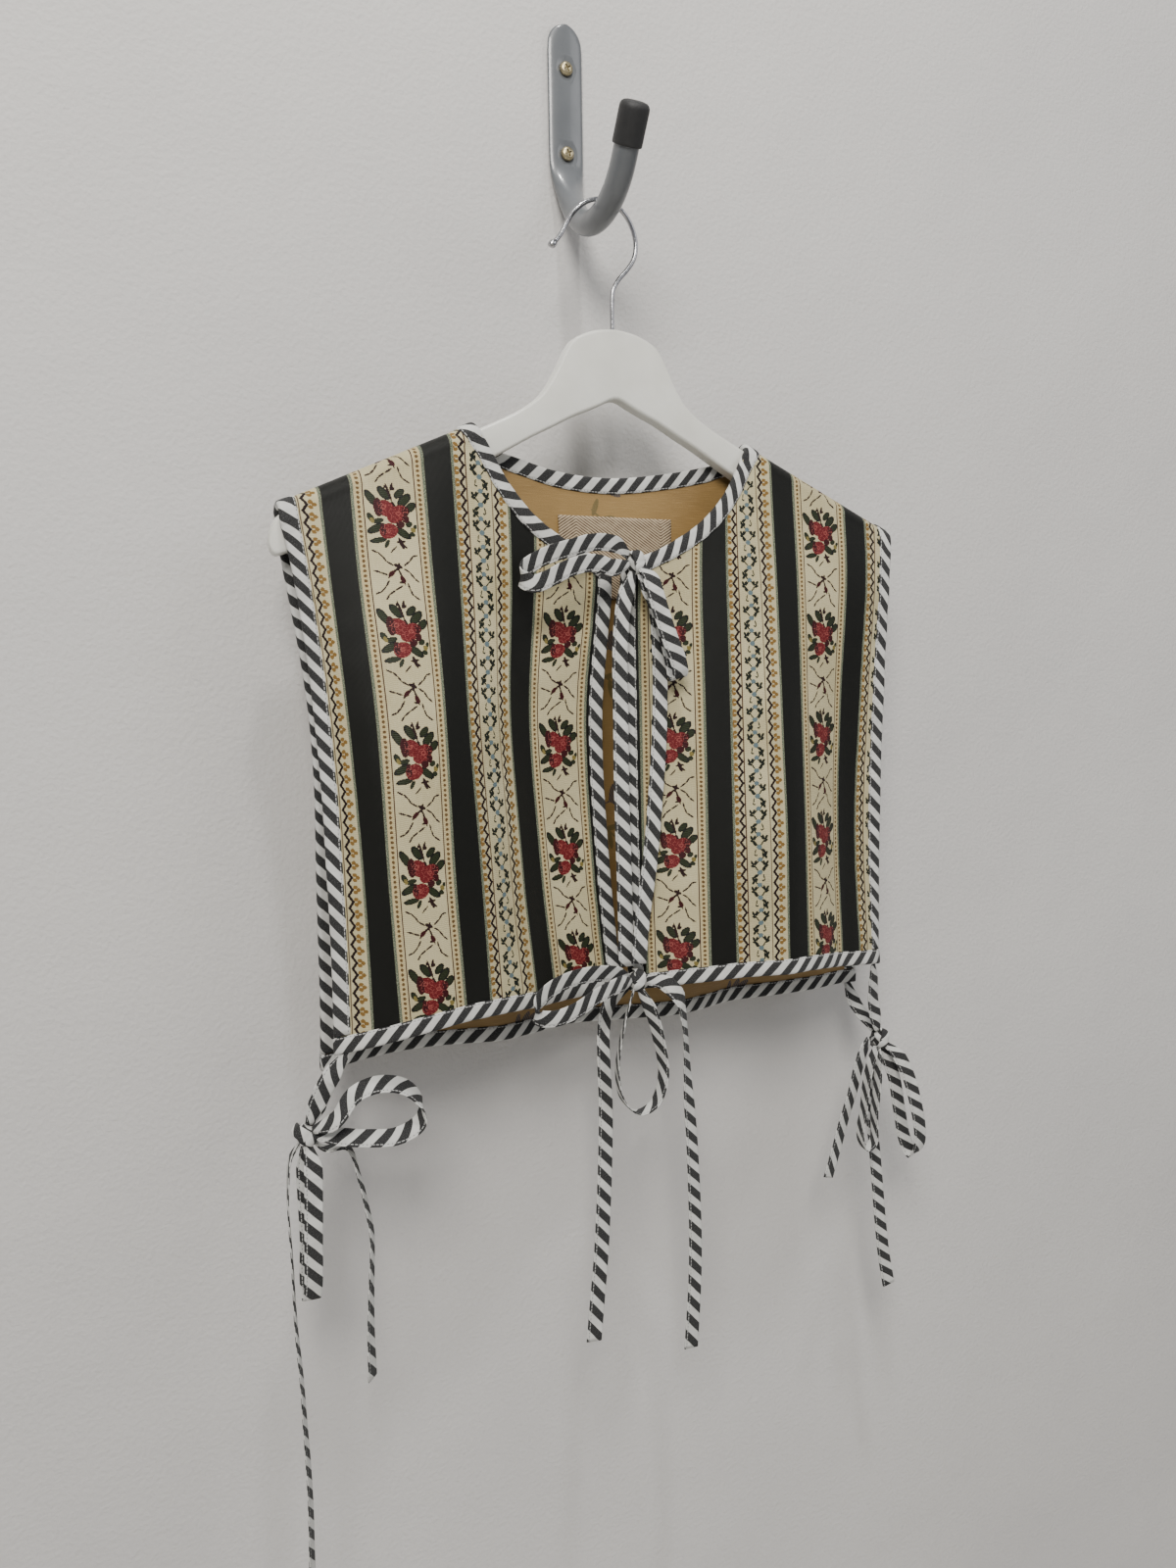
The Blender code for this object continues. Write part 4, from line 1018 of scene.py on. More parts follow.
brocadeRight = brocadeMaterial("brocadeRight", 0.0, 1.0)
brocadeLeft = brocadeMaterial("brocadeLeft", 361.0, -1.0)
brocadeBack = brocadeMaterial("brocadeBack", 515.5, -1.0)  # a posy stripe down the middle of the back
print("brocade made")


ticking = {
    "repeat": 13.2,       # along the tape
    "share": 0.52,        # of it dark
    "stray": 0.9,         # how far a stripe wanders
    "pale": srgb(206, 206, 202),
    "paleWorn": srgb(190, 190, 186),
    "dark": srgb(30, 30, 31),
    "darkWorn": srgb(58, 58, 58),
    "fleck": srgb(104, 104, 103),
    "stitch": 1.5,        # stitching from the tape's edge
    "stitchStep": 2.4,
    "stitchShare": 0.72,
    "thread": srgb(186, 186, 184),
    # the hole tone is painted shade in the needle holes between stitches
    "hole": srgb(60, 60, 60),
    "rib": 0.6,
    "relief": 0.00032,
}


def tickingMaterial():  # bias strips of woven ticking, the stripes at 45 degrees across the tape, with painted shade in the stitch holes
    material, net, shader = newMaterial("ticking", Roughness=0.82, Sheen_Weight=0.05, Sheen_Roughness=0.5,
                                        Specular_IOR_Level=0.2)
    flat = net.cutPlace()
    x, y = net.split(flat)
    stray = net.times(net.minus(net.noise(flat, 0.11, 1), 0.5), ticking["stray"])
    run = net.plus(net.plus(x, y), stray)
    phase = net.modulo(net.divide(run, ticking["repeat"]), 1.0)
    stripe = net.band(phase, 0.5, ticking["share"] / 2, 0.012)
    warp = net.minus(x, y)
    weave = net.noise(net.join(net.times(run, 2.2), net.times(warp, 0.9)), 1.0, 1)
    fleck = net.above(weave, 0.64)
    dark = net.mix(net.remap(weave, 0.3, 0.7), ticking["dark"], ticking["darkWorn"])
    dark = net.mix(net.both(fleck, 0.35), dark, ticking["fleck"])
    pale = net.mix(net.remap(net.noise(flat, 0.05, 2), 0.35, 0.65), ticking["pale"], ticking["paleWorn"])
    colour = net.mix(stripe, pale, dark)
    edge = net.add("ShaderNodeAttribute", attribute_name="fromEdge").outputs["Fac"]
    away = net.times(edge, 1000.0)
    seam = net.band(away, ticking["stitch"], 0.28, 0.1)
    dash = net.under(net.modulo(net.divide(x, ticking["stitchStep"]), 1.0), ticking["stitchShare"])
    thread = net.both(seam, dash)
    colour = net.mix(net.both(thread, 0.8), colour, ticking["thread"])
    # painted shade: the stitching line darkened in the gaps between stitches, where the needle holes dip
    stitchHoleShade = net.both(net.both(seam, net.minus(1.0, dash)), 0.7)
    colour = net.mix(stitchHoleShade, colour, ticking["hole"])
    net.feed(shader.inputs["Base Color"], colour)
    cross = net.both(net.wave(run, ticking["rib"]), net.wave(warp, ticking["rib"]))
    pull = net.noise(net.join(net.times(x, 0.22), net.times(y, 0.06)), 1.0, 2)
    height = net.plus(net.times(cross, 0.1), net.times(pull, 2.4))
    groove = net.remap(net.unsigned(net.minus(away, ticking["stitch"])), 0.0, 1.1, -1.1, 0.0)
    height = net.plus(height, groove)
    height = net.plus(height, net.times(thread, 0.5))
    net.feed(shader.inputs["Normal"], net.bump(height, ticking["relief"]))
    return material


liningLook = {
    "ground": srgb(150, 122, 74),
    "groundWorn": srgb(132, 104, 60),
    "slub": srgb(186, 154, 104),
    "leafDark": srgb(44, 50, 66),
    "leafOlive": srgb(92, 84, 48),
    "repeatAcross": 92.0,
    "repeatUp": 104.0,
    "start": (40.0, -250.0),  # cut position and height of the first spray
    "twill": 0.5,
    "relief": 0.0003,
}
sprayChart = """
part  x   y    long wide turn
dark  0   0    15   1.0  25
dark  8   7    7    2.4  50
dark  11  1.5  7    2.2  5
dark  2   6    6.5  2.2  75
dark  -4  -5.5 7    2.3  -20
dark  -8  1    6.5  2.2  80
dark  15  8    6    2.1  25
olive -12 -24  11   0.8  -40
olive -17 -16  6    1.9  70
olive -8  -23  6    1.9  10
olive -9  -32  6    1.8  -80
"""


def liningMaterial():  # plain satin with a sparse woven leaf spray
    material, net, shader = newMaterial("lining", Roughness=0.5, Sheen_Weight=0.1, Specular_IOR_Level=0.4)
    flat = net.cutPlace()
    s, h = net.split(flat)
    halfAcross, halfUp = liningLook["repeatAcross"] / 2, liningLook["repeatUp"] / 2
    column = net.math("FLOOR", net.divide(s, liningLook["repeatAcross"]))
    u = net.math("WRAP", net.minus(s, liningLook["start"][0]), halfAcross, -halfAcross)
    step = net.plus(-liningLook["start"][1], net.times(column, halfUp))  # each column half a repeat up
    v = net.math("WRAP", net.plus(h, step), halfUp, -halfUp)
    near = {part: net.under(net.spots(net.join(u, v), rows), 1.0) for part, rows in chart(sprayChart).items()}
    vein = net.above(net.modulo(net.plus(u, net.times(v, 0.5)), 1.8), 0.55)
    cloudy = net.noise(flat, 0.012, 3)
    colour = net.mix(net.remap(cloudy, 0.3, 0.7), liningLook["ground"], liningLook["groundWorn"])
    slub = net.noise(net.vector("MULTIPLY", flat, (0.08, 1.6, 1)), 1.0, 2)
    colour = net.mix(net.remap(slub, 0.5, 0.8, 0, 0.3), colour, liningLook["slub"])
    colour = net.mix(net.both(near["olive"], 0.75), colour, liningLook["leafOlive"])
    veined = net.both(near["dark"], net.remap(vein, 0, 1, 0.35, 0.9))
    colour = net.mix(veined, colour, liningLook["leafDark"])
    net.feed(shader.inputs["Base Color"], colour)
    twill = net.wave(net.plus(s, h), liningLook["twill"])
    height = net.plus(net.times(twill, 0.08), net.times(slub, 0.5))
    net.feed(shader.inputs["Normal"], net.bump(height, liningLook["relief"]))
    return material


labelLook = {
    "chevron": 128.0,     # twice the width of one row of the herringbone
    "rib": 1.9,
    "slant": 0.62,
    # the furrow tone is painted shade: the tape darkened where its ribs dip
    "furrow": srgb(92, 76, 58),
    "ridge": srgb(190, 170, 142),
    "worn": srgb(188, 172, 144),
    "relief": 0.0002,
}


def labelMaterial():  # herringbone tape, with painted shade in the furrows of its ribs
    material, net, shader = newMaterial("labelTape", Roughness=0.85, Sheen_Weight=0.1, Specular_IOR_Level=0.2)
    flat = net.cutPlace()
    s, h = net.split(flat)
    fold = net.unsigned(net.minus(net.modulo(s, labelLook["chevron"]), labelLook["chevron"] / 2))
    rib = net.wave(net.plus(h, net.times(fold, labelLook["slant"])), labelLook["rib"])
    # painted shade: the tape darker in the rib furrows, following the same waves as the bump
    colour = net.mix(net.remap(rib, -0.5, 0.6), labelLook["furrow"], labelLook["ridge"])
    colour = net.mix(net.remap(net.noise(flat, 0.2, 2), 0.4, 0.7, 0, 0.4), colour, labelLook["worn"])
    net.feed(shader.inputs["Base Color"], colour)
    net.feed(shader.inputs["Normal"], net.bump(rib, labelLook["relief"]))
    return material


paints = {  # tone, worn tone, roughness, grain
    "hangerPaint": (srgb(214, 214, 207), srgb(202, 201, 192), 0.42, 26),
    "wireChrome": (srgb(176, 176, 178), srgb(150, 150, 152), 0.16, 60),
    "hookPaint": (srgb(98, 101, 104), srgb(84, 87, 90), 0.26, 22),
    "capRubber": (srgb(22, 22, 23), srgb(34, 34, 35), 0.55, 70),
    "screwMetal": (srgb(196, 184, 150), srgb(150, 138, 104), 0.3, 200),
}


def paintMaterial(name, coat=0.0, metallic=0.0):  # paint, rubber or plated metal, with wear
    tone, worn, rough, grain = paints[name]
    material, net, shader = newMaterial(name, Metallic=metallic, Coat_Weight=coat, Coat_Roughness=0.12)
    place = net.add("ShaderNodeTexCoord").outputs["Object"]
    cloudy = net.noise(place, grain, 4)
    specks = net.noise(place, grain * 9, 2)
    colour = net.mix(net.remap(cloudy, 0.35, 0.7), tone, worn)
    colour = net.mix(net.remap(specks, 0.66, 0.74, 0, 0.35), colour, worn)
    net.feed(shader.inputs["Base Color"], colour)
    dull = net.plus(cloudy, net.times(specks, 0.4))
    net.feed(shader.inputs["Roughness"], net.remap(dull, 0.4, 1.0, rough, rough + 0.14))
    peel = net.noise(place, grain * 5, 2)
    net.feed(shader.inputs["Normal"], net.bump(peel, 0.0003, 0.5))
    return material


tickingPaint = tickingMaterial()
liningPaint = liningMaterial()
labelPaint = labelMaterial()
hangerPaint = paintMaterial("hangerPaint", coat=0.15)
wirePaint = paintMaterial("wireChrome", metallic=1.0)
hookPaint = paintMaterial("hookPaint", coat=0.35)
capPaint = paintMaterial("capRubber")
screwPaint = paintMaterial("screwMetal", metallic=1.0)
print("materials made")


# cloth panels
def nothing(u):
    return np.zeros(len(u))


def frontPlace(side, offset):
    panel, grid = panels[side], grids[side]

    def place(u, v):
        s, h = spread(grid, u, v * (len(grid) - 1))
        points = clothPoint(panel, s, h) + clothNormal(panel, s, h) * (offset + waves(panel, s, h))[:, None]
        return points, np.stack([s, h], axis=1), nothing(u)
    return place


def backPlace(offset):
    panel = panels["back"]

    def place(u, v):
        s = curve(np.linspace(0, 1, len(backAcross)), backAcross, u, steady=True)
        rows = backHeights(s)
        h = curve(range(len(rows)), rows, v * (len(rows) - 1), steady=True)
        points = clothPoint(panel, s, h) + clothNormal(panel, s, h) * (offset + waves(panel, s, h))[:, None]
        return points, np.stack([s, h], axis=1), nothing(u)
    return place


def aboveNeck(u, v):  # the part of the back's grid that the neckline cuts away
    s = float(curve(np.linspace(0, 1, len(backAcross)), backAcross, u, steady=True)[0])
    inside = garment["neckAcross"] < s < garment["backAcross"] - garment["neckAcross"]
    return v * (len(backColumns) - 1) > len(backColumns) - turnRows and inside


panelFine = {"front": (60, 84), "back": (112, 60)}
shellOffset = garment["seam"] / 2 + garment["wall"] / 2
shells = {}
linings = {}


def panelPiece(name, side, offset, paint, node, slotName):
    if side == "back":
        obj = cover(name, *panelFine["back"], backPlace(offset), drop=aboveNeck, wall=garment["wall"])
    else:
        obj = cover(name, *panelFine["front"], frontPlace(side, offset), wall=garment["wall"])
    return dress(obj, paint, [node], slotName)


for side, paint, outside, inside in (("right", brocadeRight, "front_right", "front_lining_right"),
                                     ("left", brocadeLeft, "front_left", "front_lining_left"),
                                     ("back", brocadeBack, "back", "back_lining")):
    shells[side] = panelPiece("shell_" + side, side, shellOffset, paint, outside, "brocade")
    linings[side] = panelPiece("lining_" + side, side, -shellOffset, liningPaint, inside, "lining")
print("panels laid")


# bindings, a folded tape over each edge
# each corner's share of the tape's width, height off the cloth and reach past the edge
bindingProfile = [(0.0, 1.2, 0), (0.0, 1.75, 0), (0.03, 2.1, 0), (0.1, 2.22, 0), (0.16, 2.3, 0), (0.35, 2.4, 0)]
bindingProfile += [(0.62, 2.4, 0), (0.86, 2.42, 0), (1.0, 2.3, 0.1), (1.0, 1.9, 0.85), (1.0, 1.05, 1.35)]
bindingProfile += [(1.0, 0.0, 1.5)]
bindingProfile += [(w, -off, out) for w, off, out in bindingProfile[-2::-1]]


def gridStations(side, pairs, shifts=(0.0, 0.0)):  # edge and leg of the tape at pairs of grid corners
    panel, grid = panels[side], grids[side]
    edge = np.array([grid[a[0], a[1]] for a, b in pairs])
    leg = np.array([grid[b[0], b[1]] for a, b in pairs])
    found = []
    for block in (edge, leg):
        s, h = block[:, 0], block[:, 1]
        n = clothNormal(panel, s, h)
        found += [clothPoint(panel, s, h) + n * waves(panel, s, h)[:, None], n]
    e, en, l, ln = found
    out = e - l
    out = unit(out - en * (out * en).sum(1)[:, None])
    for end, other in ((0, 1), (-1, -2)):
        way = unit(e[other] - e[end]) * shifts[end]
        e[end] += way
        l[end] += way
    return [e, en, l, ln, out]


def bindingPiece(name, blocks, each=6):
    e, en, l, ln, out = blocks
    lengths = (running(e) + running(l)) / 2 + 0.05 * np.arange(len(e))
    count = each * (len(e) - 1) + 1
    spots, (e, en, l, ln, out) = resample(blocks, lengths, count)
    en, ln, out = unit(en), unit(ln), unit(out)
    ahead = unit(np.gradient(e + l, axis=0))
    hand = np.sign((np.cross(ahead, en) * out).sum())
    columns = len(bindingProfile)
    widths = [0.0]
    for a, b in zip(bindingProfile, bindingProfile[1:]):
        rise = math.hypot(b[1] - a[1], b[2] - a[2])
        widths.append(widths[-1] + math.hypot((b[0] - a[0]) * garment["binding"], rise))

    def place(u, v):
        i = np.rint(u * columns).astype(int) % columns
        k = np.rint(v * (count - 1)).astype(int)
        w, off, nose = (np.array(bindingProfile)[i, c][:, None] for c in range(3))
        n = unit(ln[k] * (1 - w) + en[k] * w)
        points = l[k] + (e[k] - l[k]) * w + out[k] * nose + n * off
        across = np.array(widths + [widths[-1] + 2.4])[np.rint(u * columns).astype(int)]
        flat = np.stack([spots[k], hand * across], axis=1)
        return points, flat, np.minimum(across, widths[-1] - across)
    obj = cover(name + "_tape", columns, count - 1, place, rolled=True)
    return dress(obj, tickingPaint, [name], "ticking")


def hemPiece(name, side):
    corners = [((0, i), (1, i)) for i in range(grids[side].shape[1])]
    return bindingPiece(name, gridStations(side, corners, (-over, -over)))


def columnStations(side, edge, leg, rows, shifts):
    return gridStations(side, [((j, edge), (j, leg)) for j in rows], shifts)


over = garment["seam"] + garment["wall"]
tuck = 0.7  # an upright tape starts this far above the hem's
corner = len(garment["frontRows"])
bindings = {}
neckParts = {}
for side in ("right", "left"):
    rows, last = len(grids[side]), grids[side].shape[1] - 1
    bindings[side] = [
        hemPiece("front_hem_binding_" + side, side),
        bindingPiece("front_side_binding_" + side, columnStations(side, 0, 1, range(1, rows), (tuck, 0.0))),
        bindingPiece("opening_binding_" + side,
                     columnStations(side, last, last - 1, range(1, corner + 1), (tuck, 0.5))),
    ]
    neckParts[side] = columnStations(side, last, last - 1, range(corner, rows), (0.2, 0.0))
rows, last = grids["back"].shape[0], grids["back"].shape[1] - 1
bindings["back"] = [
    hemPiece("back_hem_binding", "back"),
    bindingPiece("back_side_binding_right", columnStations("back", 0, 1, range(1, rows), (tuck, 0.0))),
    bindingPiece("back_side_binding_left",
                 columnStations("back", last, last - 1, range(1, rows), (tuck, 0.0))),
]
top = rows - turnRows
first = list(backAcross).index(garment["neckAcross"])
final = list(backAcross).index(garment["backAcross"] - garment["neckAcross"])
pairs = [((top + k, first), (top + k, first - 1)) for k in (2, 1, 0)]  # round the neck's two corners
pairs += [((top, first), (top - 1, first - 1))]
pairs += [((top, i), (top - 1, i)) for i in range(first, final + 1)]
pairs += [((top, final), (top - 1, final + 1))]
pairs += [((top + k, final), (top + k, final + 1)) for k in (0, 1, 2)]
backStations = gridStations("back", pairs)
edges = backStations[0]
for here, above, beyond in ((2, 1, 5), (len(pairs) - 3, len(pairs) - 2, len(pairs) - 6)):
    middle = 4 if here == 2 else len(pairs) - 5
    point = edges[here].copy()
    edges[here] = point * 0.55 + edges[above] * 0.45
    edges[middle] = point * 0.75 + edges[beyond] * 0.25
neckRuns = zip(neckParts["right"], backStations, neckParts["left"])
neckBlocks = [np.concatenate([near, back, far[::-1]]) for near, back, far in neckRuns]
neckTape = bindingPiece("neck_binding", neckBlocks)
print("edges bound")


# label, a blank tape on the back lining
labelSize = {"from": 179.0, "to": 264.0, "low": -326.0, "high": -272.0, "thick": 0.9}


def labelPlace(u, v):
    panel = panels["back"]
    s = labelSize["from"] + (labelSize["to"] - labelSize["from"]) * u
    h = labelSize["low"] + (labelSize["high"] - labelSize["low"]) * v
    lifted = garment["seam"] * 1.5 + garment["wall"] + labelSize["thick"] / 2
    n = clothNormal(panel, s, h)
    points = clothPoint(panel, s, h) + n * (waves(panel, s, h) - lifted)[:, None]
    return points, np.stack([s, h], axis=1), nothing(u)


label = cover("label_piece", 40, 26, labelPlace, wall=labelSize["thick"])
dress(label, labelPaint, ["label"], "label_tape")

# ties, flat folded tape from each knot
tape = {
    "width": 11.0,
    "thick": 1.1,
    "knotAir": 0.5,
    "pinch": 0.45,      # share of the width left where it leaves a knot
    "gather": 13.0,     # length over which it spreads
    "cordWidths": 6.2,  # a tape shorter than this many widths is no cord
}
knots = {  # middle and half sizes
    "neck_knot": ((13.5, -72.3, -304.5), (7.0, 5.5, 6.5)),
    "waist_knot": ((8.0, -76.5, -578.0), (7.5, 6.0, 6.0)),
    "right_knot": ((-211.0, -70.5, -646.0), (6.0, 6.0, 6.5)),
    "left_knot": ((220.0, -62.5, -652.0), (6.0, 6.0, 6.5)),
}
ties = {  # where it starts, its route, where it ends, the way of its width at both ends, fineness
    "neck_tail_a": ("neck_knot", """x y z
2.5 -76.5 -331
-1 -77.5 -360
-1 -77 -400
-1 -77 -450
0 -77.5 -512
1 -77 -568""", "", (1, 0, 0.3), (1, 0, 0), 16),
    "neck_tail_b": ("neck_knot", """x y z
24 -73.5 -316
27 -76 -340
28 -77 -371
26 -79 -416
22 -80 -459
17 -81 -500
11 -81.5 -536
8 -81 -566""", "", (1, 0, 0), (1, 0, 0.2), 16),
    "neck_loop_a": ("neck_knot", """x y z
-2 -77.5 -294.5
-20 -81.5 -293.5
-36 -83 -297.5
-51 -83 -302
-62 -83.5 -307
-70 -85.5 -312.5
-72.5 -89.5 -317.5
-67 -93 -321
-57 -93.5 -318
-47 -93 -313
-34 -91 -308.5
-20 -87 -307
-8 -82 -309""", "neck_knot", (0.1, -0.1, 1), (-0.2, -0.1, 1), 30),
    "neck_loop_b": ("neck_knot", """x y z
17 -85 -314
20 -89 -328
24 -90.5 -342
29 -91 -356
34 -91 -368
36 -90 -375
36.5 -87 -379
36.5 -83.5 -378.5
36 -82 -373
33 -81.5 -359
28 -81.5 -343
22 -81 -328
18 -80.5 -320""", "neck_knot", (1, -0.2, 0.3), (1, -0.2, 0.3), 34),
    "waist_loop_a": ("waist_knot", """x y z
-10 -84 -570.5
-29 -89 -567
-48 -91 -568.5
-62 -92.5 -573.5
-70 -94.5 -580.5
-71.5 -98 -586.5
-63 -101 -588.5
-47 -101 -585.5
-31 -98.5 -579
-14 -93 -575.5""", "waist_knot", (0.1, -0.1, 1), (-0.2, -0.1, 1), 26),
    "waist_loop_b": ("waist_knot", """x y z
-3 -85 -597
-9 -88 -613
-12 -88 -635
-8 -88 -654
3 -88 -664
15 -88 -660
22 -88 -642
19 -88 -618
14 -87 -598""", "waist_knot", (0.5, 0.85, 0), (-0.5, 0.85, 0), 20),
    "waist_tail_a": ("waist_knot", """x y z
-10 -73.5 -592
-15 -75 -606
-17 -78 -628
-17 -80 -658
-18 -80 -696
-20 -80 -733
-22 -80 -761
-25 -80 -789
-28 -80 -818""", "", (0.7, 0.2, -0.7), (1, 0, 0), 18),
    "waist_tail_b": ("waist_knot", """x y z
23 -88 -579
31 -93 -588
35 -92.5 -602
39 -88 -618
42.5 -83 -636
45 -80 -656
47 -80 -682
48.5 -80 -710
50 -80 -768
49 -80 -800
46 -80 -842""", "", (0.1, 0.3, 1), (0.95, 0.05, 0), 22),
    "right_stay_front": (("right", 5.0), """x y z
-196 -80 -610
-203 -75.5 -625""", "right_knot", (1, -0.3, 0.4), (1, 0, 0.4), 6),
    "right_stay_back": (("back", 5.0), """x y z
-192 -40.5 -628
-197 -49.5 -633.5
-203 -60 -638.5""", "right_knot", (0.8, -0.5, 0.1), (0.8, -0.5, -0.2), 14),
    "right_loop_a": ("right_knot", """x y z
-195 -85 -635
-184 -85 -622
-170 -86 -617.5
-153 -86 -622
-143.5 -86 -634
-145 -86 -645
-158 -86 -651
-175 -85 -650
-192 -81 -647.5""", "right_knot", (0, 0.6, 0.8), (0, 0.6, 0.8), 22),
    "right_tail_a": ("right_knot", """x y z
-199.5 -68 -658
-186 -69 -659
-179 -70 -680
-175 -70 -700
-172.5 -70 -717
-173 -70 -735
-174 -70 -752
-175 -70 -777
-175 -70 -809""", "", (0.2, 1, 0), (0.6, 0.7, 0), 18),
    "right_loop_b": ("right_knot", """x y z
-208.5 -78.5 -663
-209 -80 -682
-210 -80 -710
-211 -79 -738
-211.5 -75.5 -746
-212 -72 -738
-211 -71.5 -710
-211.5 -71.5 -680
-211.5 -71 -664""", "right_knot", (1, 0, 0), (1, 0, 0), 22),
    "right_tail_b": ("right_knot", """x y z
-219.5 -69 -659
-221.5 -68.5 -675
-222 -68 -693
-221 -68 -720
-220 -68 -767
-218 -68 -799
-217 -68 -829
-216 -68 -854
-215.5 -68 -885
-216 -68 -920
-216 -68 -952""", "", (0.1, 1, 0), (0.5, 0.85, 0), 26),
    "left_stay_front": (("left", 5.5), """x y z
208.5 -70 -606
210 -68 -620
214 -66 -634""", "left_knot", (1, 0.3, 0), (1, 0, 0.3), 8),
    "left_stay_back": (("back", 428.5), """x y z
213 -41.5 -628
216 -51 -639""", "left_knot", (1, 0, 0), (1, 0, 0), 6),
    "left_tail_a": ("left_knot", """x y z
207 -66.5 -651.5
202 -66.5 -659.5
197.5 -66.5 -672
192.5 -66.5 -689
186 -66 -707
179.5 -66 -727
171.5 -66 -750""", "", (1, 0.2, 0.3), (1, 0.25, 0.1), 16),
    "left_loop_a": ("left_knot", """x y z
208 -70 -664
202 -72 -678
199 -72 -702
196 -72 -720
200 -72 -731
207 -72 -729
209 -72 -705
213 -71 -676""", "left_knot", (0.15, 1, 0), (0.15, 1, 0), 20),
    "left_tail_b": ("left_knot", """x y z
222 -55.5 -668
216 -59 -691
216 -59 -709
219 -59 -735
221 -59 -753
223 -59 -773
226 -59 -802
229 -59 -825
234 -59 -851""", "", (1, 0.2, 0), (1, 0, 0.2), 18),
    "left_loop_b": ("left_knot", """x y z
230 -73 -664
236 -77 -679
242 -79 -702
246 -79 -722
246.5 -77 -737
244.5 -72.5 -743
241.5 -68 -734
236.5 -67 -710
229.5 -67 -678""", "left_knot", (1, 0, 0.3), (1, 0, 0.3), 22),
}


def hemWays(side, s):
    panel = panels[side]
    ends = clothPoint(panel, [s - 4, s + 4], hemHeight(panel, [s - 4, s + 4]))
    along = unit(ends[1] - ends[0])
    down = np.array([0, 0, -1.0])
    return along, unit(down - along * along.dot(down))


def anchor(end, toward):  # on a knot's skin, or under a hem binding's corner
    if isinstance(end, str):
        centre, size = np.array(knots[end][0]), np.array(knots[end][1])
        way = unit(np.array(toward) - centre)
        return centre + way * (1 / np.linalg.norm(way / size) + tape["knotAir"])
    side, s = end
    return clothPoint(panels[side], s, hemHeight(panels[side], s))[0] + hemWays(side, s)[1] * (over + 0.45)


tapeProfile = [(-1, 0.0), (-0.97, 0.6), (-0.86, 0.95), (-0.4, 1), (0.1, 1), (0.6, 1), (0.9, 1), (1, 0.55),
               (1, -0.55), (0.9, -1), (0.6, -1), (0.1, -1), (-0.4, -1), (-0.86, -0.95), (-0.97, -0.6)]


def tie(name, begin, text, finish, start, end, pieces):
    rows = table(text)
    points = [np.array(p) for p in zip(rows["x"], rows["y"], rows["z"])]
    points.insert(0, anchor(begin, points[0]))
    if finish:
        points.append(anchor(finish, points[-1]))
    points = np.array(points)
    lengths = running(points)
    count = pieces * 4 + 1
    spots, (line,) = resample([points], lengths, count)
    sewn = None if isinstance(begin, str) else hemWays(*begin)
    start, end = np.array(start, float), np.array(end, float)
    if sewn:
        start = sewn[0] * (1 if sewn[0].dot(end) > 0 else -1)
    ahead = unit(np.gradient(line, axis=0))
    f = np.linspace(0, 1, count)[:, None]
    wide = start * (1 - f) + end * f
    wide = unit(wide - ahead * (wide * ahead).sum(1)[:, None])
    face = np.cross(ahead, wide)
    half = np.full(count, tape["width"] / 2)
    runs = [spots] + ([lengths[-1] - spots] if finish else [])
    for run in runs:
        half *= np.where(run < tape["gather"], tape["pinch"] + (1 - tape["pinch"]) * run / tape["gather"], 1)
    wobble = np.array([noise.noise(Vector((a / 26, len(name), half[0]))) for a in spots])
    columns = len(tapeProfile)
    profile = np.array(tapeProfile + tapeProfile[:1])
    around = running(profile * [tape["width"] / 2, tape["thick"] / 2])

    def place(u, v):
        i = np.rint(u * columns).astype(int)
        k = np.rint(v * (count - 1)).astype(int)
        a, b = profile[i, 0][:, None], profile[i, 1][:, None]
        crease = (0.5 + 0.35 * wobble[k])[:, None] * (1 - a ** 2) * np.where(half[k] < 5.4, 2.2, 0.5)[:, None]
        points = line[k] + wide[k] * a * half[k][:, None] + face[k] * (b * tape["thick"] / 2 + crease * 0.5)
        return points, np.stack([spots[k], -around[i]], axis=1), np.abs(profile[i, 0] + 1) * tape["width"] / 2
    obj = cover(name + "_ribbon", columns, count - 1, place, rolled=True)
    dress(obj, tickingPaint, [name], "ticking")
    path = line * mm
    length = float(np.linalg.norm(np.diff(path, axis=0), axis=1).sum())
    if length > tape["cordWidths"] * tape["width"] * mm:  # the four stays are short and sewn at one end
        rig.cord(obj, exit=path[0], length=length, diameter=tape["width"] * mm,
                far_end="object" if finish else "bare", stiffness="limp", lay="hanging", path=path)
    return obj


for name, facts in ties.items():
    tie(name, *facts)
print("ties hung")


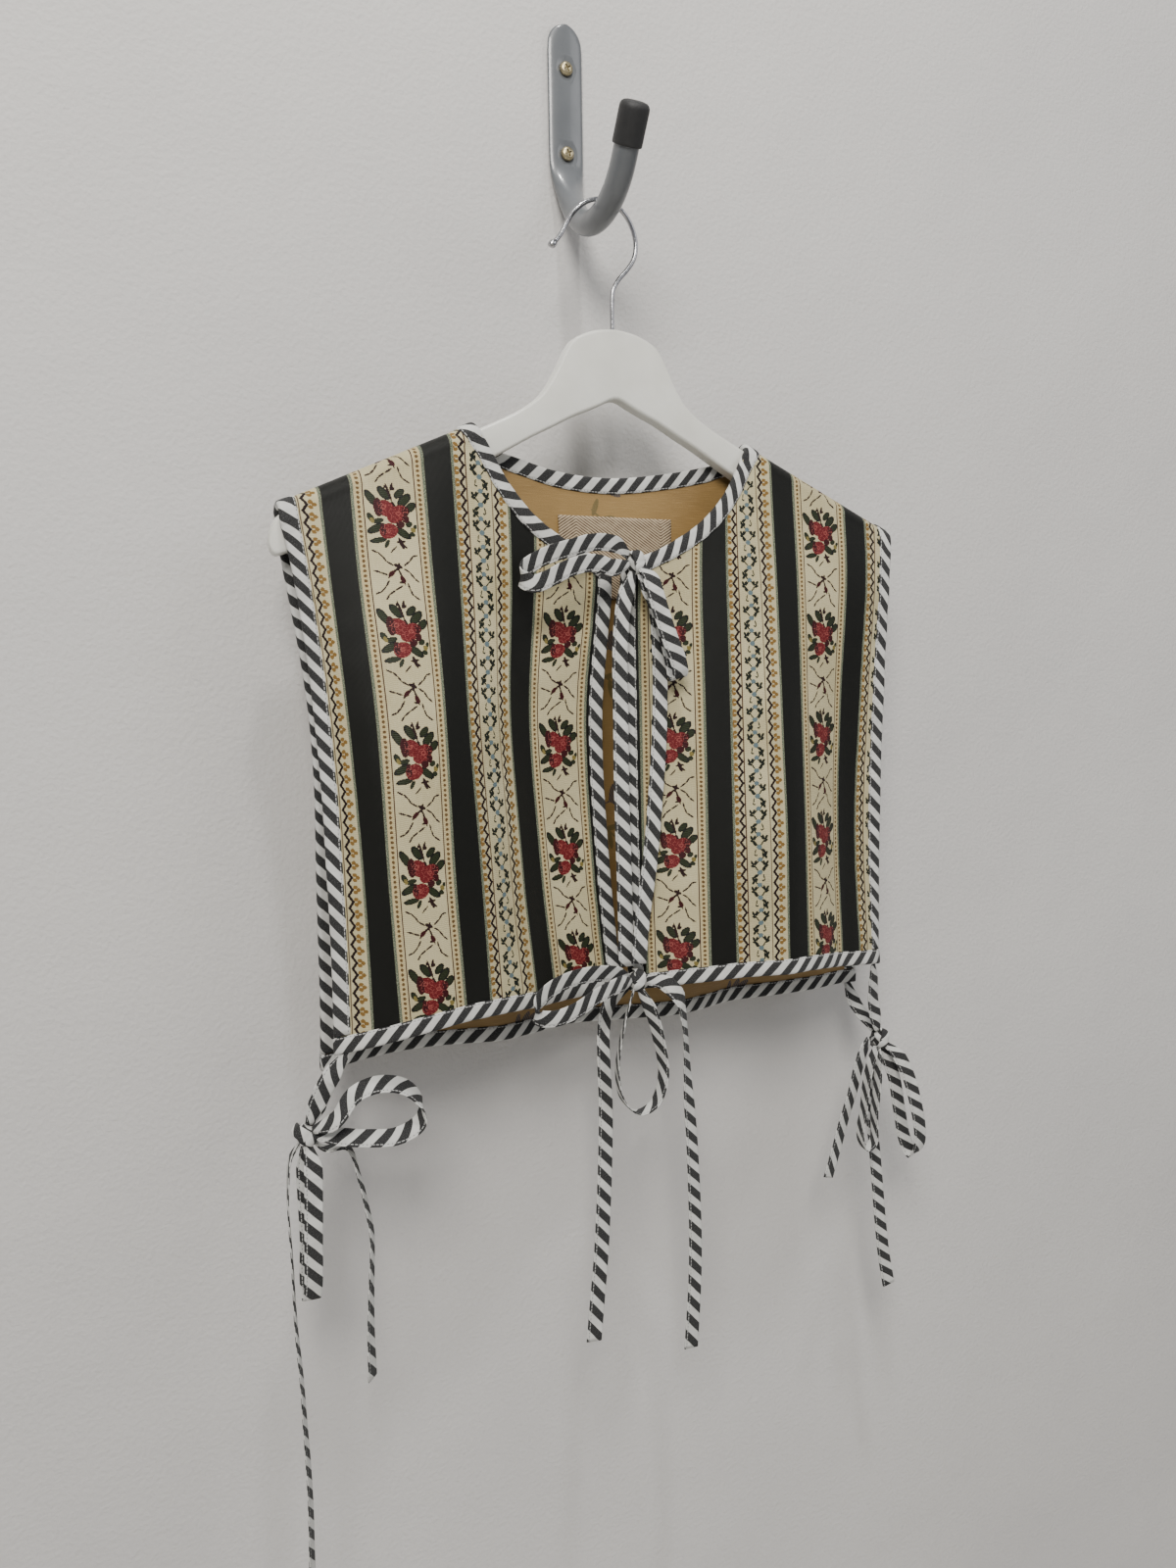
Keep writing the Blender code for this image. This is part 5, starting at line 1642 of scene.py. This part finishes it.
# knots, a tucked body with one turn of tape over it
def knotPiece(name, centre, size, tilt):
    centre, size = np.array(centre), np.array(size)

    def body(u, v):
        a, b = u * 2 * math.pi, (v - 0.5) * math.pi * 0.985
        lump = 1 + 0.07 * np.sin(3 * a + 1.0) * np.cos(b) + 0.05 * np.sin(5 * b)
        way = np.stack([np.cos(a) * np.cos(b), np.sin(a) * np.cos(b), np.sin(b)], axis=1)
        flat = np.stack([a * size[0], b * size[2]], axis=1)
        return centre + way * size * 0.94 * lump[:, None], flat, nothing(u) + 6
    dress(cover(name + "_core", 28, 18, body, rolled=True), tickingPaint, [name], "ticking")
    columns = len(tapeProfile)
    profile = np.array(tapeProfile + tapeProfile[:1])
    along = np.array([math.cos(tilt), 0, math.sin(tilt)])
    up = np.array([-math.sin(tilt), 0, math.cos(tilt)])

    def turn(u, v):
        i = np.rint(u * columns).astype(int)
        a = v * 2 * math.pi
        out = -np.array([0, 1, 0]) * np.cos(a)[:, None] + up * np.sin(a)[:, None]
        reach = np.abs(out) @ size * 0.3 + np.linalg.norm(out * size, axis=1) * 0.72
        swell = (profile[i, 1] * 0.45 + 0.35 * (1 - profile[i, 0] ** 2))[:, None]
        sideways = profile[i, 0] * 3.9 * (0.82 + 0.18 * np.cos(a))
        points = centre + along * sideways[:, None] + out * (reach[:, None] + swell)
        return points, np.stack([a * 6.5, -profile[i, 0] * 4], axis=1), nothing(u) + 6
    dress(cover(name + "_turn", columns, 30, turn, rolled=True), tickingPaint, [], "ticking")


for name, tilt in (("neck_knot", 0.25), ("waist_knot", -0.2), ("right_knot", 0.9), ("left_knot", -0.35)):
    knotPiece(name, *knots[name], tilt)
print("knots tied")


# hanger, a flat painted wooden one
hangerRows = """
out   top    bottom
0     -155.2 -199.5
12    -156.6 -204.4
22    -159.8 -208.8
30    -164.5 -212.1
35    -172   -214.7
39.5  -181   -217
44.5  -190   -219.7
52    -200   -223.4
62    -207.8 -228.6
75    -215.2 -235.9
90    -222.4 -244.1
98.5  -226.4 -248.6
120   -236   -259
150   -249.4 -272.4
180   -262.8 -287
205   -274   -299
214   -279   -303.5
219.5 -284   -305
222   -289   -303.5
223.4 -294   -300
"""
hangerShape = {"half": 5.6, "edge": 2.6}


def hangerPiece():
    rows = table(hangerRows)
    outs = np.concatenate([-rows["out"][:0:-1], rows["out"]])
    tops = np.concatenate([rows["top"][:0:-1], rows["top"]])
    lows = np.concatenate([rows["bottom"][:0:-1], rows["bottom"]])
    count = 180
    ends = outs[-1]
    spots = ends * np.sin(np.linspace(-math.pi / 2, math.pi / 2, count) * 0.9) / math.sin(math.pi / 2 * 0.9)
    high, low = curve(outs, tops, spots, steady=True), curve(outs, lows, spots, steady=True)
    corners = []
    for quarter, (cy, cz) in enumerate(((1, 1), (-1, 1), (-1, -1), (1, -1))):
        for k in range(7):
            a = math.pi / 12 * k + math.pi / 2 * quarter
            corners.append((cy, cz, math.cos(a), math.sin(a)))
    corners = np.array(corners)
    columns = len(corners)
    far = np.abs(spots) / ends
    half = hangerShape["half"] * np.where(far < 0.97, 1, 1 - 0.35 * ((far - 0.97) / 0.03) ** 2)
    bevel = np.minimum(hangerShape["edge"], np.minimum(half, (high - low) / 2) * 0.95)

    def place(u, v):
        c = corners[np.rint(u * columns).astype(int) % columns]
        k = np.rint(v * (count - 1)).astype(int)
        middle, tall = (high[k] + low[k]) / 2, (high[k] - low[k]) / 2
        y = garment["hangerY"] + c[:, 0] * (half[k] - bevel[k]) + c[:, 2] * bevel[k]
        z = middle + c[:, 1] * (tall - bevel[k]) + c[:, 3] * bevel[k]
        points = np.stack([spots[k] + garment["centreX"], y, z], axis=1)
        return points, np.stack([spots[k], z], axis=1), nothing(u)
    obj = cover("hanger_wood", columns, count - 1, place, rolled=True)
    return dress(obj, hangerPaint, ["hanger"], "hanger_paint")


hanger = hangerPiece()


# a bar along rows of x y z and two half sizes
def rodPiece(name, rows, material, slotName, across, sides=20, each=6, flatBack=None):
    rows = np.array(rows, float)
    lengths = running(rows[:, :3])
    count = each * (len(rows) - 1) + 1
    spots = np.interp(np.linspace(0, len(rows) - 1, count), range(len(rows)), lengths)
    line = np.stack([curve(lengths, rows[:, c], spots) for c in range(3)], axis=1)
    size = np.stack([curve(lengths, rows[:, c], spots, steady=True) for c in (3, 4)], axis=1)
    ahead = unit(np.gradient(line, axis=0))
    wide = unit(np.array(across, float) - ahead * (ahead @ np.array(across, float))[:, None])
    deep = np.cross(ahead, wide)

    def place(u, v):
        a = u * 2 * math.pi
        k = np.rint(v * (count - 1)).astype(int)
        points = line[k] + wide[k] * (size[k, 0] * np.cos(a))[:, None]
        points = points + deep[k] * (size[k, 1] * np.sin(a))[:, None]
        if flatBack is not None:
            points[:, 1] = np.minimum(points[:, 1], flatBack)
        return points, np.stack([a * 5, spots[k]], axis=1), nothing(u)
    return dress(cover(name + "_bar", sides, count - 1, place, rolled=True), material, [name], slotName)


def carve(obj, bm):  # cuts a closed form out of a piece
    cutter = newObject("cutter", bm, smooth=False)
    cut = obj.modifiers.new("cut", "BOOLEAN")
    cut.operation = "DIFFERENCE"
    cut.solver = "EXACT"
    cut.object = cutter
    shown = bpy.data.meshes.new_from_object(obj.evaluated_get(bpy.context.evaluated_depsgraph_get()))
    obj.modifiers.clear()
    obj.data = shown
    bpy.data.objects.remove(cutter, do_unlink=True)


wireRows = """
x     z      r
-35.2 -108.2 0.9
-34.9 -107.6 2.3
-33.9 -106.4 2.6
-32.6 -105.2 2.3
-31.4 -103.9 1.5
-27.9 -99.5  1.5
-24.7 -93.5  1.5
-19.5 -85.6  1.5
-12.5 -79    1.5
-5    -75.2  1.5
3     -74.3  1.5
11.5  -77    1.5
18.5  -82.8  1.5
23.2  -91    1.5
25    -100   1.5
23.5  -108   1.5
18.6  -115.6 1.5
12    -123   1.5
8.2   -129.5 1.5
7.3   -137   1.5
7.3   -150   1.5
7.3   -178   1.5
"""
rows = table(wireRows)
wireLine = [(x, garment["hangerY"], z, r, r) for x, z, r in zip(rows["x"], rows["z"], rows["r"])]
rodPiece("hanger_wire", wireLine, wirePaint, "wire_chrome", (0, 1, 0))
hookRows = """
y     z     wide deep
-2.6  55.5  3.2  2.4
-2.6  54.6  5.6  2.5
-2.6  52.4  8.4  2.6
-2.6  49    10.7 2.6
-2.6  44    12.2 2.6
-2.6  36    12.5 2.6
-2.6  18    12.5 2.6
-2.6  0     12.5 2.6
-2.6  -18   12.5 2.6
-2.7  -31   12.4 2.6
-3.2  -38   12.0 3.1
-4.9  -46   10.9 4.5
-7.8  -54.5 9.5  6.2
-12.2 -63   8.6  7.5
-19   -71.8 8.0  8.0
-28   -79   8.0  8.0
-38   -83.4 8.0  8.0
-48   -84.9 8.0  8.0
-57.5 -84.2 8.0  8.0
-66   -81.9 8.0  8.0
-73.5 -78.2 8.0  8.0
-80.2 -73.2 8.0  8.0
-85.8 -67.3 8.0  8.0
-90.4 -60.6 8.0  8.0
-98.4 -47.8 8.0  8.0
-101  -43.6 8.0  8.0
"""
hookShape = {
    "flatBack": -0.2,
    "screwHeight": 27.2,
    "dimple": 9.5,      # the press round each screw, outer and inner radius, depth and place
    "hole": 5.2,
    "depth": 1.6,
    "pressed": -4.8,
}
rows = table(hookRows)
wallHook = rodPiece("wall_hook", [(0, *row) for row in zip(rows["y"], rows["z"], rows["wide"], rows["deep"])],
                    hookPaint, "hook_paint", (1, 0, 0), sides=36, each=4, flatBack=hookShape["flatBack"])
screwHeights = {"screw_upper": hookShape["screwHeight"], "screw_lower": -hookShape["screwHeight"]}
for z in screwHeights.values():
    bm = bmesh.new()
    bmesh.ops.create_cone(bm, cap_ends=True, segments=40, radius1=hookShape["dimple"] * mm,
                          radius2=hookShape["hole"] * mm, depth=hookShape["depth"] * mm)
    turn = Vector((0, 0, 1)).rotation_difference(Vector((0, 1, 0))).to_matrix()
    for v in bm.verts:
        v.co = turn @ v.co + Vector((0, hookShape["pressed"] * mm, z * mm))
    carve(wallHook, bm)
wallHook.data.shade_smooth()
wallHook.data.set_sharp_from_angle(angle=math.radians(32))


# radius and distance turned round a line
def lathe(name, profile, start, along, material, nodes, slotName, sides=40):
    start, along = Vector(start) * mm, Vector(along).normalized()
    bm = bmesh.new()
    out = Vector((1, 0, 0))
    verts = [bm.verts.new(start + along * t * mm + out * r * mm) for r, t in profile]
    edges = [bm.edges.new(pair) for pair in zip(verts, verts[1:])]
    bmesh.ops.spin(bm, geom=verts + edges, cent=start, axis=along, dvec=(0, 0, 0), angle=2 * math.pi,
                   steps=sides, use_merge=True)
    bmesh.ops.remove_doubles(bm, verts=bm.verts[:], dist=0.000002)
    bmesh.ops.recalc_face_normals(bm, faces=bm.faces[:])
    obj = newObject(name + "_turned", bm)
    obj.data.set_sharp_from_angle(angle=math.radians(40))
    return dress(obj, material, nodes, slotName)


capShape = {
    "start": (0, -93.0, -56.4),
    "way": (0, -0.53, 0.848),
    "profile": [(0, 18), (8.35, 17.6), (8.35, 0.0), (9.0, -0.1), (9.35, 0.5), (9.4, 1.4), (9.4, 19.6),
                (9.2, 21.2), (8.6, 22.4), (7.4, 23.4), (5.5, 23.9), (3.0, 24.05), (0, 24.1)],
}
screwShape = {
    "profile": [(0, 0.3), (2.1, 0.3), (2.1, 4.35), (4.5, 4.35), (4.6, 4.6), (4.5, 5.7), (3.9, 6.6),
                (2.8, 7.15), (1.4, 7.35), (0, 7.4)],
    "cross": ((5.0, 1.0), (1.0, 5.0)),  # width and height of its two slots
    "slotDepth": 3.0,
    "slotPlace": 7.4,
    "slotTurn": (0.88, 0.47),
}
lathe("hook_cap", capShape["profile"], capShape["start"], capShape["way"], capPaint, ["hook_cap"],
      "cap_rubber")
for name, z in screwHeights.items():
    screw = lathe(name, screwShape["profile"], (0, 0, z), (0, -1, 0), screwPaint, [name], "screw_metal",
                  sides=32)
    level, slant = screwShape["slotTurn"]
    for wide, tall in screwShape["cross"]:
        bm = bmesh.new()
        bmesh.ops.create_cube(bm, size=1.0)
        for v in bm.verts:
            x, h = v.co.x * wide * mm, v.co.z * tall * mm
            deep = (v.co.y * screwShape["slotDepth"] - screwShape["slotPlace"]) * mm
            v.co = Vector((x * level - h * slant, deep, z * mm + x * slant + h * level))
        carve(screw, bm)
print("hanger, wire and hook made")


# declared cloth: each panel's flat cut in metres
def cutArea(grid):
    total = 0.0
    for j in range(len(grid) - 1):
        for i in range(grid.shape[1] - 1):
            a, b, c, d = grid[j, i], grid[j, i + 1], grid[j + 1, i + 1], grid[j + 1, i]
            total += abs((c[0] - a[0]) * (d[1] - b[1]) - (d[0] - b[0]) * (c[1] - a[1])) / 2
    return total * mm * mm


for side in ("right", "left", "back"):
    grid = grids[side]
    flat = ((grid[..., 0].max() - grid[..., 0].min()) * mm, (grid[..., 1].max() - grid[..., 1].min()) * mm)
    area = cutArea(grid)
    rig.sheet(shells[side], flat=flat, held="hung", rests_on=[hanger], area=area,
             with_pieces=bindings[side] + ([neckTape] if side == "back" else []))
    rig.sheet(linings[side], flat=flat, held="hung", rests_on=[hanger], area=area,
             with_pieces=[label] if side == "back" else [])
    print(side, "cut", [round(x, 4) for x in flat], "area", round(area, 4))


# room: wall behind, pale floor below, soft lights
room = {
    "wall": srgb(202, 200, 197),
    "wallPatch": srgb(193, 191, 189),
    "floor": srgb(196, 194, 190),
    "floorHeight": -1.45,
    "key": {"place": (-0.9, -1.7, 1.0), "size": 0.9, "power": 58, "tone": (1.0, 0.965, 0.91)},
    "fill": {"place": (1.6, -1.6, 0.7), "size": 1.3, "power": 11, "tone": (0.98, 0.98, 1.0)},
    "top": {"place": (-0.1, -0.8, 1.5), "size": 0.14, "power": 17, "tone": (1.0, 0.99, 0.96)},
    "behind": {"place": (0.0, 1.8, 0.4), "size": 1.6, "power": 16, "tone": (1.0, 1.0, 1.0)},
    "aim": (0, -0.05, -0.42),
    "sky": 0.33,
    "skyTone": (0.93, 0.95, 1.0, 1),
    "wallGap": 0.0006,     # the wall's face lies this far behind the hook's back
    "wallTop": 1.8,
    "floorWorn": srgb(206, 204, 200),
}


def wallMaterial():
    material, net, shader = newMaterial("wallPaint", Roughness=0.8, Specular_IOR_Level=0.2)
    place = net.add("ShaderNodeTexCoord").outputs["Object"]
    cloudy = net.noise(place, 2.2, 4)
    colour = net.mix(net.remap(cloudy, 0.3, 0.7), room["wall"], room["wallPatch"])
    net.feed(shader.inputs["Base Color"], colour)
    roller = net.noise(place, 320, 3)
    uneven = net.times(net.noise(place, 9, 3), 4.0)
    net.feed(shader.inputs["Normal"], net.bump(net.plus(roller, uneven), 0.0006))
    behind = net.add("ShaderNodeNewGeometry").outputs["Backfacing"]
    shadow = net.add("ShaderNodeLightPath").outputs["Is Shadow Ray"]
    clear = net.add("ShaderNodeBsdfTransparent")
    blend = net.add("ShaderNodeMixShader")
    net.feed(blend.inputs[0], net.any(behind, shadow))
    net.feed(blend.inputs[1], shader.outputs[0])
    net.feed(blend.inputs[2], clear.outputs[0])
    net.feed(material.node_tree.nodes["Material Output"].inputs["Surface"], blend.outputs[0])
    return material


def flatPiece(name, corners, material):
    bm = bmesh.new()
    bmesh.ops.create_grid(bm, x_segments=1, y_segments=1, size=1.0)
    a, b, c = (Vector(x) for x in corners)
    for v in bm.verts:
        v.co = a + (b - a) * (v.co.x + 1) / 2 + (c - a) * (v.co.y + 1) / 2
    obj = newObject(name, bm)
    obj.data.materials.append(material)
    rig.stage(obj)
    return obj


low, back = room["floorHeight"], room["wallGap"]
flatPiece("backWall", ((-3, back, low), (3, back, low), (-3, back, room["wallTop"])), wallMaterial())
floorPaint, net, shader = newMaterial("floorPaint", Roughness=0.7)
floorPlace = net.add("ShaderNodeTexCoord").outputs["Object"]
net.feed(shader.inputs["Base Color"], net.mix(net.noise(floorPlace, 3, 3), room["floor"], room["floorWorn"]))
flatPiece("floor", ((-4, -4, low), (4, -4, low), (-4, 4, low)), floorPaint)
for name in ("key", "fill", "top", "behind"):
    facts = room[name]
    data = bpy.data.lights.new(name, "AREA")
    data.shape = "DISK"
    data.size = facts["size"]
    data.energy = facts["power"]
    data.color = facts["tone"]
    lamp = bpy.data.objects.new(name, data)
    bpy.context.scene.collection.objects.link(lamp)
    aim = Vector(room["aim"]) - Vector(facts["place"])
    lamp.matrix_world = Matrix.Translation(facts["place"]) @ aim.to_track_quat("-Z", "Y").to_matrix().to_4x4()
world = bpy.data.worlds.new("room")
world.use_nodes = True
sky = world.node_tree.nodes["Background"]
sky.inputs["Color"].default_value = room["skyTone"]
sky.inputs["Strength"].default_value = room["sky"]
bpy.context.scene.world = world
print("room lit")

json.dump({"cad": cadBox, "visual": [list(corner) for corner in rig.bounds()]}, open("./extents.json", "w"))
